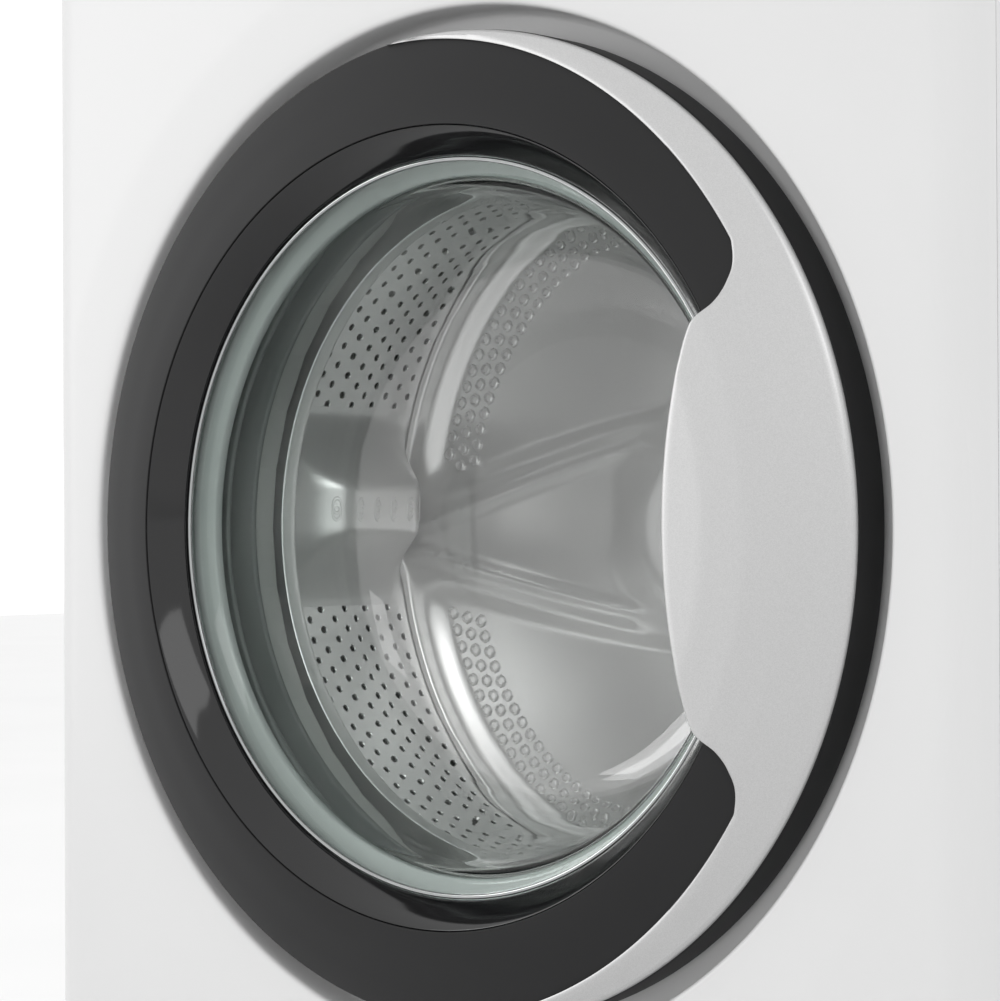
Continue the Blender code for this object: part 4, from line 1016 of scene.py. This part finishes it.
def studio():
    """White surroundings, a pale floor and soft lamps."""
    s = settings()
    scene = bpy.context.scene
    scene.view_settings.view_transform = "Standard"
    world = bpy.data.worlds.new("studio")
    world.use_nodes = True
    world.node_tree.nodes["Background"].inputs["Color"].default_value = (1, 1, 1, 1)
    world.node_tree.nodes["Background"].inputs["Strength"].default_value = s.ambient
    scene.world = world
    half = 9.0
    mesh = bpy.data.meshes.new("floor")
    corners = [(-half, -half, 0), (half, -half, 0), (half, half, 0), (-half, half, 0)]
    mesh.from_pydata(corners, [], [(0, 1, 2, 3)])
    floor = bpy.data.objects.new("floor", mesh)
    bpy.context.collection.objects.link(floor)
    bench = Bench("floor_finish")
    cloud = bench.noise(3, 3.0)
    floor.data.materials.append(bench.done(bench.surface(
        {"Base Color": bench.tint(cloud, (0.80, 0.80, 0.80), (0.84, 0.84, 0.84)),
         "Roughness": 0.6 + 0.1 * cloud})))
    door = (0.0, PANEL_Y, AXIS_Z)
    area_light("side_strip", (-2.40, -2.20, 0.90), door, (0.40, 1.50), s.strip_power)
    area_light("key", (2.20, -2.60, 2.40), door, (1.60, 1.60), s.key_power)
    area_light("left_fill", (-2.60, -1.60, 1.30), door, (1.40, 1.80), s.fill_power)
    area_light("back_fill", (0.60, 2.80, 2.20), (0, 0, 0.4), (2.00, 2.00), s.fill_power)


# ---------------------------------------------------------------- settings, operators and panel
def length(name, description, default, **limits):
    return FloatProperty(name=name, description=description, default=default, unit="LENGTH", **limits)


def paint(name, description, *default):
    return FloatVectorProperty(name=name, description=description, subtype="COLOR", default=default,
                               min=0, max=1)


class WashingMachineSettings(bpy.types.PropertyGroup):
    """Sizes and colours of the finished machine."""

    ring_steps: IntProperty(name="Ring steps", description="Facets round the door's rings and glass",
                            default=256, min=64, max=512)
    dish_depth: length("Dish depth", "How far the panel sinks towards the door", 0.0020)
    hole_pitch: length("Hole pitch", "From ring to ring of the drum's holes", 0.0100, min=0.004)
    hole_spacing: length("Hole spacing", "From hole to hole round the drum", 0.0125, min=0.004)
    hole_width: length("Hole width", "Diameter of the drum's holes", 0.0042)
    sheet: length("Drum sheet", "Thickness of the drum's sheet", 0.0014)
    lobe_depth: length("Lobe depth", "How far the drum's star stands before its lobes", 0.0090)
    spring_wire: length("Spring wire", "Radius of the spring wire", 0.0014)
    spring_turns: IntProperty(name="Spring turns", description="Coils in a suspension spring", default=34)
    enamel_colour: paint("Cabinet", "Colour of the stove enamel", 0.66, 0.66, 0.66)
    fascia_colour: paint("Fascia", "Colour of the white plastic", 0.65, 0.65, 0.65)
    door_colour: paint("Door ring", "Colour of the dark grey ring", 0.016, 0.016, 0.0165)
    silver_colour: paint("Silver", "Colour of the silver lacquer", 0.52, 0.52, 0.52)
    glass_colour: paint("Glass", "Tint of the bowl's glass", 0.90, 0.95, 0.93)
    lens: FloatProperty(name="Lens", description="Focal length on a 36 mm sensor", default=101.76,
                        unit="CAMERA")
    camera_place: FloatVectorProperty(name="Camera place", description="Where the camera stands",
                                      subtype="TRANSLATION", default=(0.9283, -1.2380, 0.4186))
    camera_pan: FloatProperty(name="Pan", description="Degrees left of straight at the machine",
                              default=40.4224)
    camera_tilt: FloatProperty(name="Tilt", description="Degrees up", default=0.3931)
    camera_roll: FloatProperty(name="Roll", description="Degrees of roll", default=-0.2624)
    ambient: FloatProperty(name="Ambient", description="Strength of the white surroundings", default=1.1)
    strip_power: FloatProperty(name="Strip power", description="Tall lamp at the left", default=9.0,
                               unit="POWER")
    key_power: FloatProperty(name="Key power", description="Large lamp over the camera", default=14.0,
                             unit="POWER")
    fill_power: FloatProperty(name="Fill power", description="Soft lamps at the left and behind", default=4.0,
                              unit="POWER")


def operator(name, label, words, *steps):
    """An operator class that runs the steps in order."""

    def execute(self, context):
        for step in steps:
            step()
        return {"FINISHED"}

    return type("WASHER_OT_" + name, (bpy.types.Operator,),
                {"bl_idname": "washer." + name, "bl_label": label, "__doc__": words,
                 "bl_options": {"REGISTER", "UNDO"}, "execute": execute})


def dress_solids():
    """Gives every solid of the frame the finish of its slot."""
    for part in frame["record"]["subparts"]:
        piece = frame["nodes"][part["node"]]
        if not piece.material_slots:
            raise RuntimeError(part["node"] + " has no material slot")
        for place in piece.material_slots:
            place.material = finish(part["material_slot"])


OPERATORS = (
    operator("camera", "Camera", "Stands the camera right of the door", camera),
    operator("solids", "Solids", "Finishes the solids that stay and rounds the cabinet's edges",
             dress_solids, soften_edges),
    operator("cabinet", "Cabinet", "Presses the front panel and the rear cover", front_panel, lock_frame,
             rear_cover),
    operator("controls", "Controls", "Makes the knob, the dial marks and the buttons", programme_knob,
             dial_marks, round_buttons),
    operator("door", "Door", "Makes the door's rings, glass and silver plate", door_rings, glass_bowl,
             handle_plate),
    operator("seal", "Door seal", "Makes the bellows round the mouth", door_seal),
    operator("drum", "Drum", "Makes the perforated drum, its back and its lifters", drum_shell, drum_back,
             lifters),
    operator("suspension", "Suspension", "Makes the springs and the sump hose", springs, sump_hose),
    operator("stage", "Stage", "Sets the floor, the surroundings and the lamps", studio),
)


class WASHER_PT_panel(bpy.types.Panel):
    """Sidebar panel with one button for each group of pieces."""

    bl_label = "Washing machine"
    bl_idname = "WASHER_PT_panel"
    bl_space_type = "VIEW_3D"
    bl_region_type = "UI"
    bl_category = "Washer"

    def draw(self, context):
        column = self.layout.column()
        for step in OPERATORS:
            column.operator(step.bl_idname, text=step.bl_label)
        values = context.scene.washing_machine
        for name in WashingMachineSettings.__annotations__:
            column.prop(values, name)


CLASSES = (WashingMachineSettings, *OPERATORS, WASHER_PT_panel)


def register():
    for one in CLASSES:
        bpy.utils.register_class(one)
    bpy.types.Scene.washing_machine = PointerProperty(type=WashingMachineSettings)


def unregister():
    del bpy.types.Scene.washing_machine
    for one in reversed(CLASSES):
        bpy.utils.unregister_class(one)


def main():
    register()
    for step in OPERATORS:
        getattr(bpy.ops.washer, step.bl_idname.split(".")[1])()


if __name__ == "__main__":
    main()
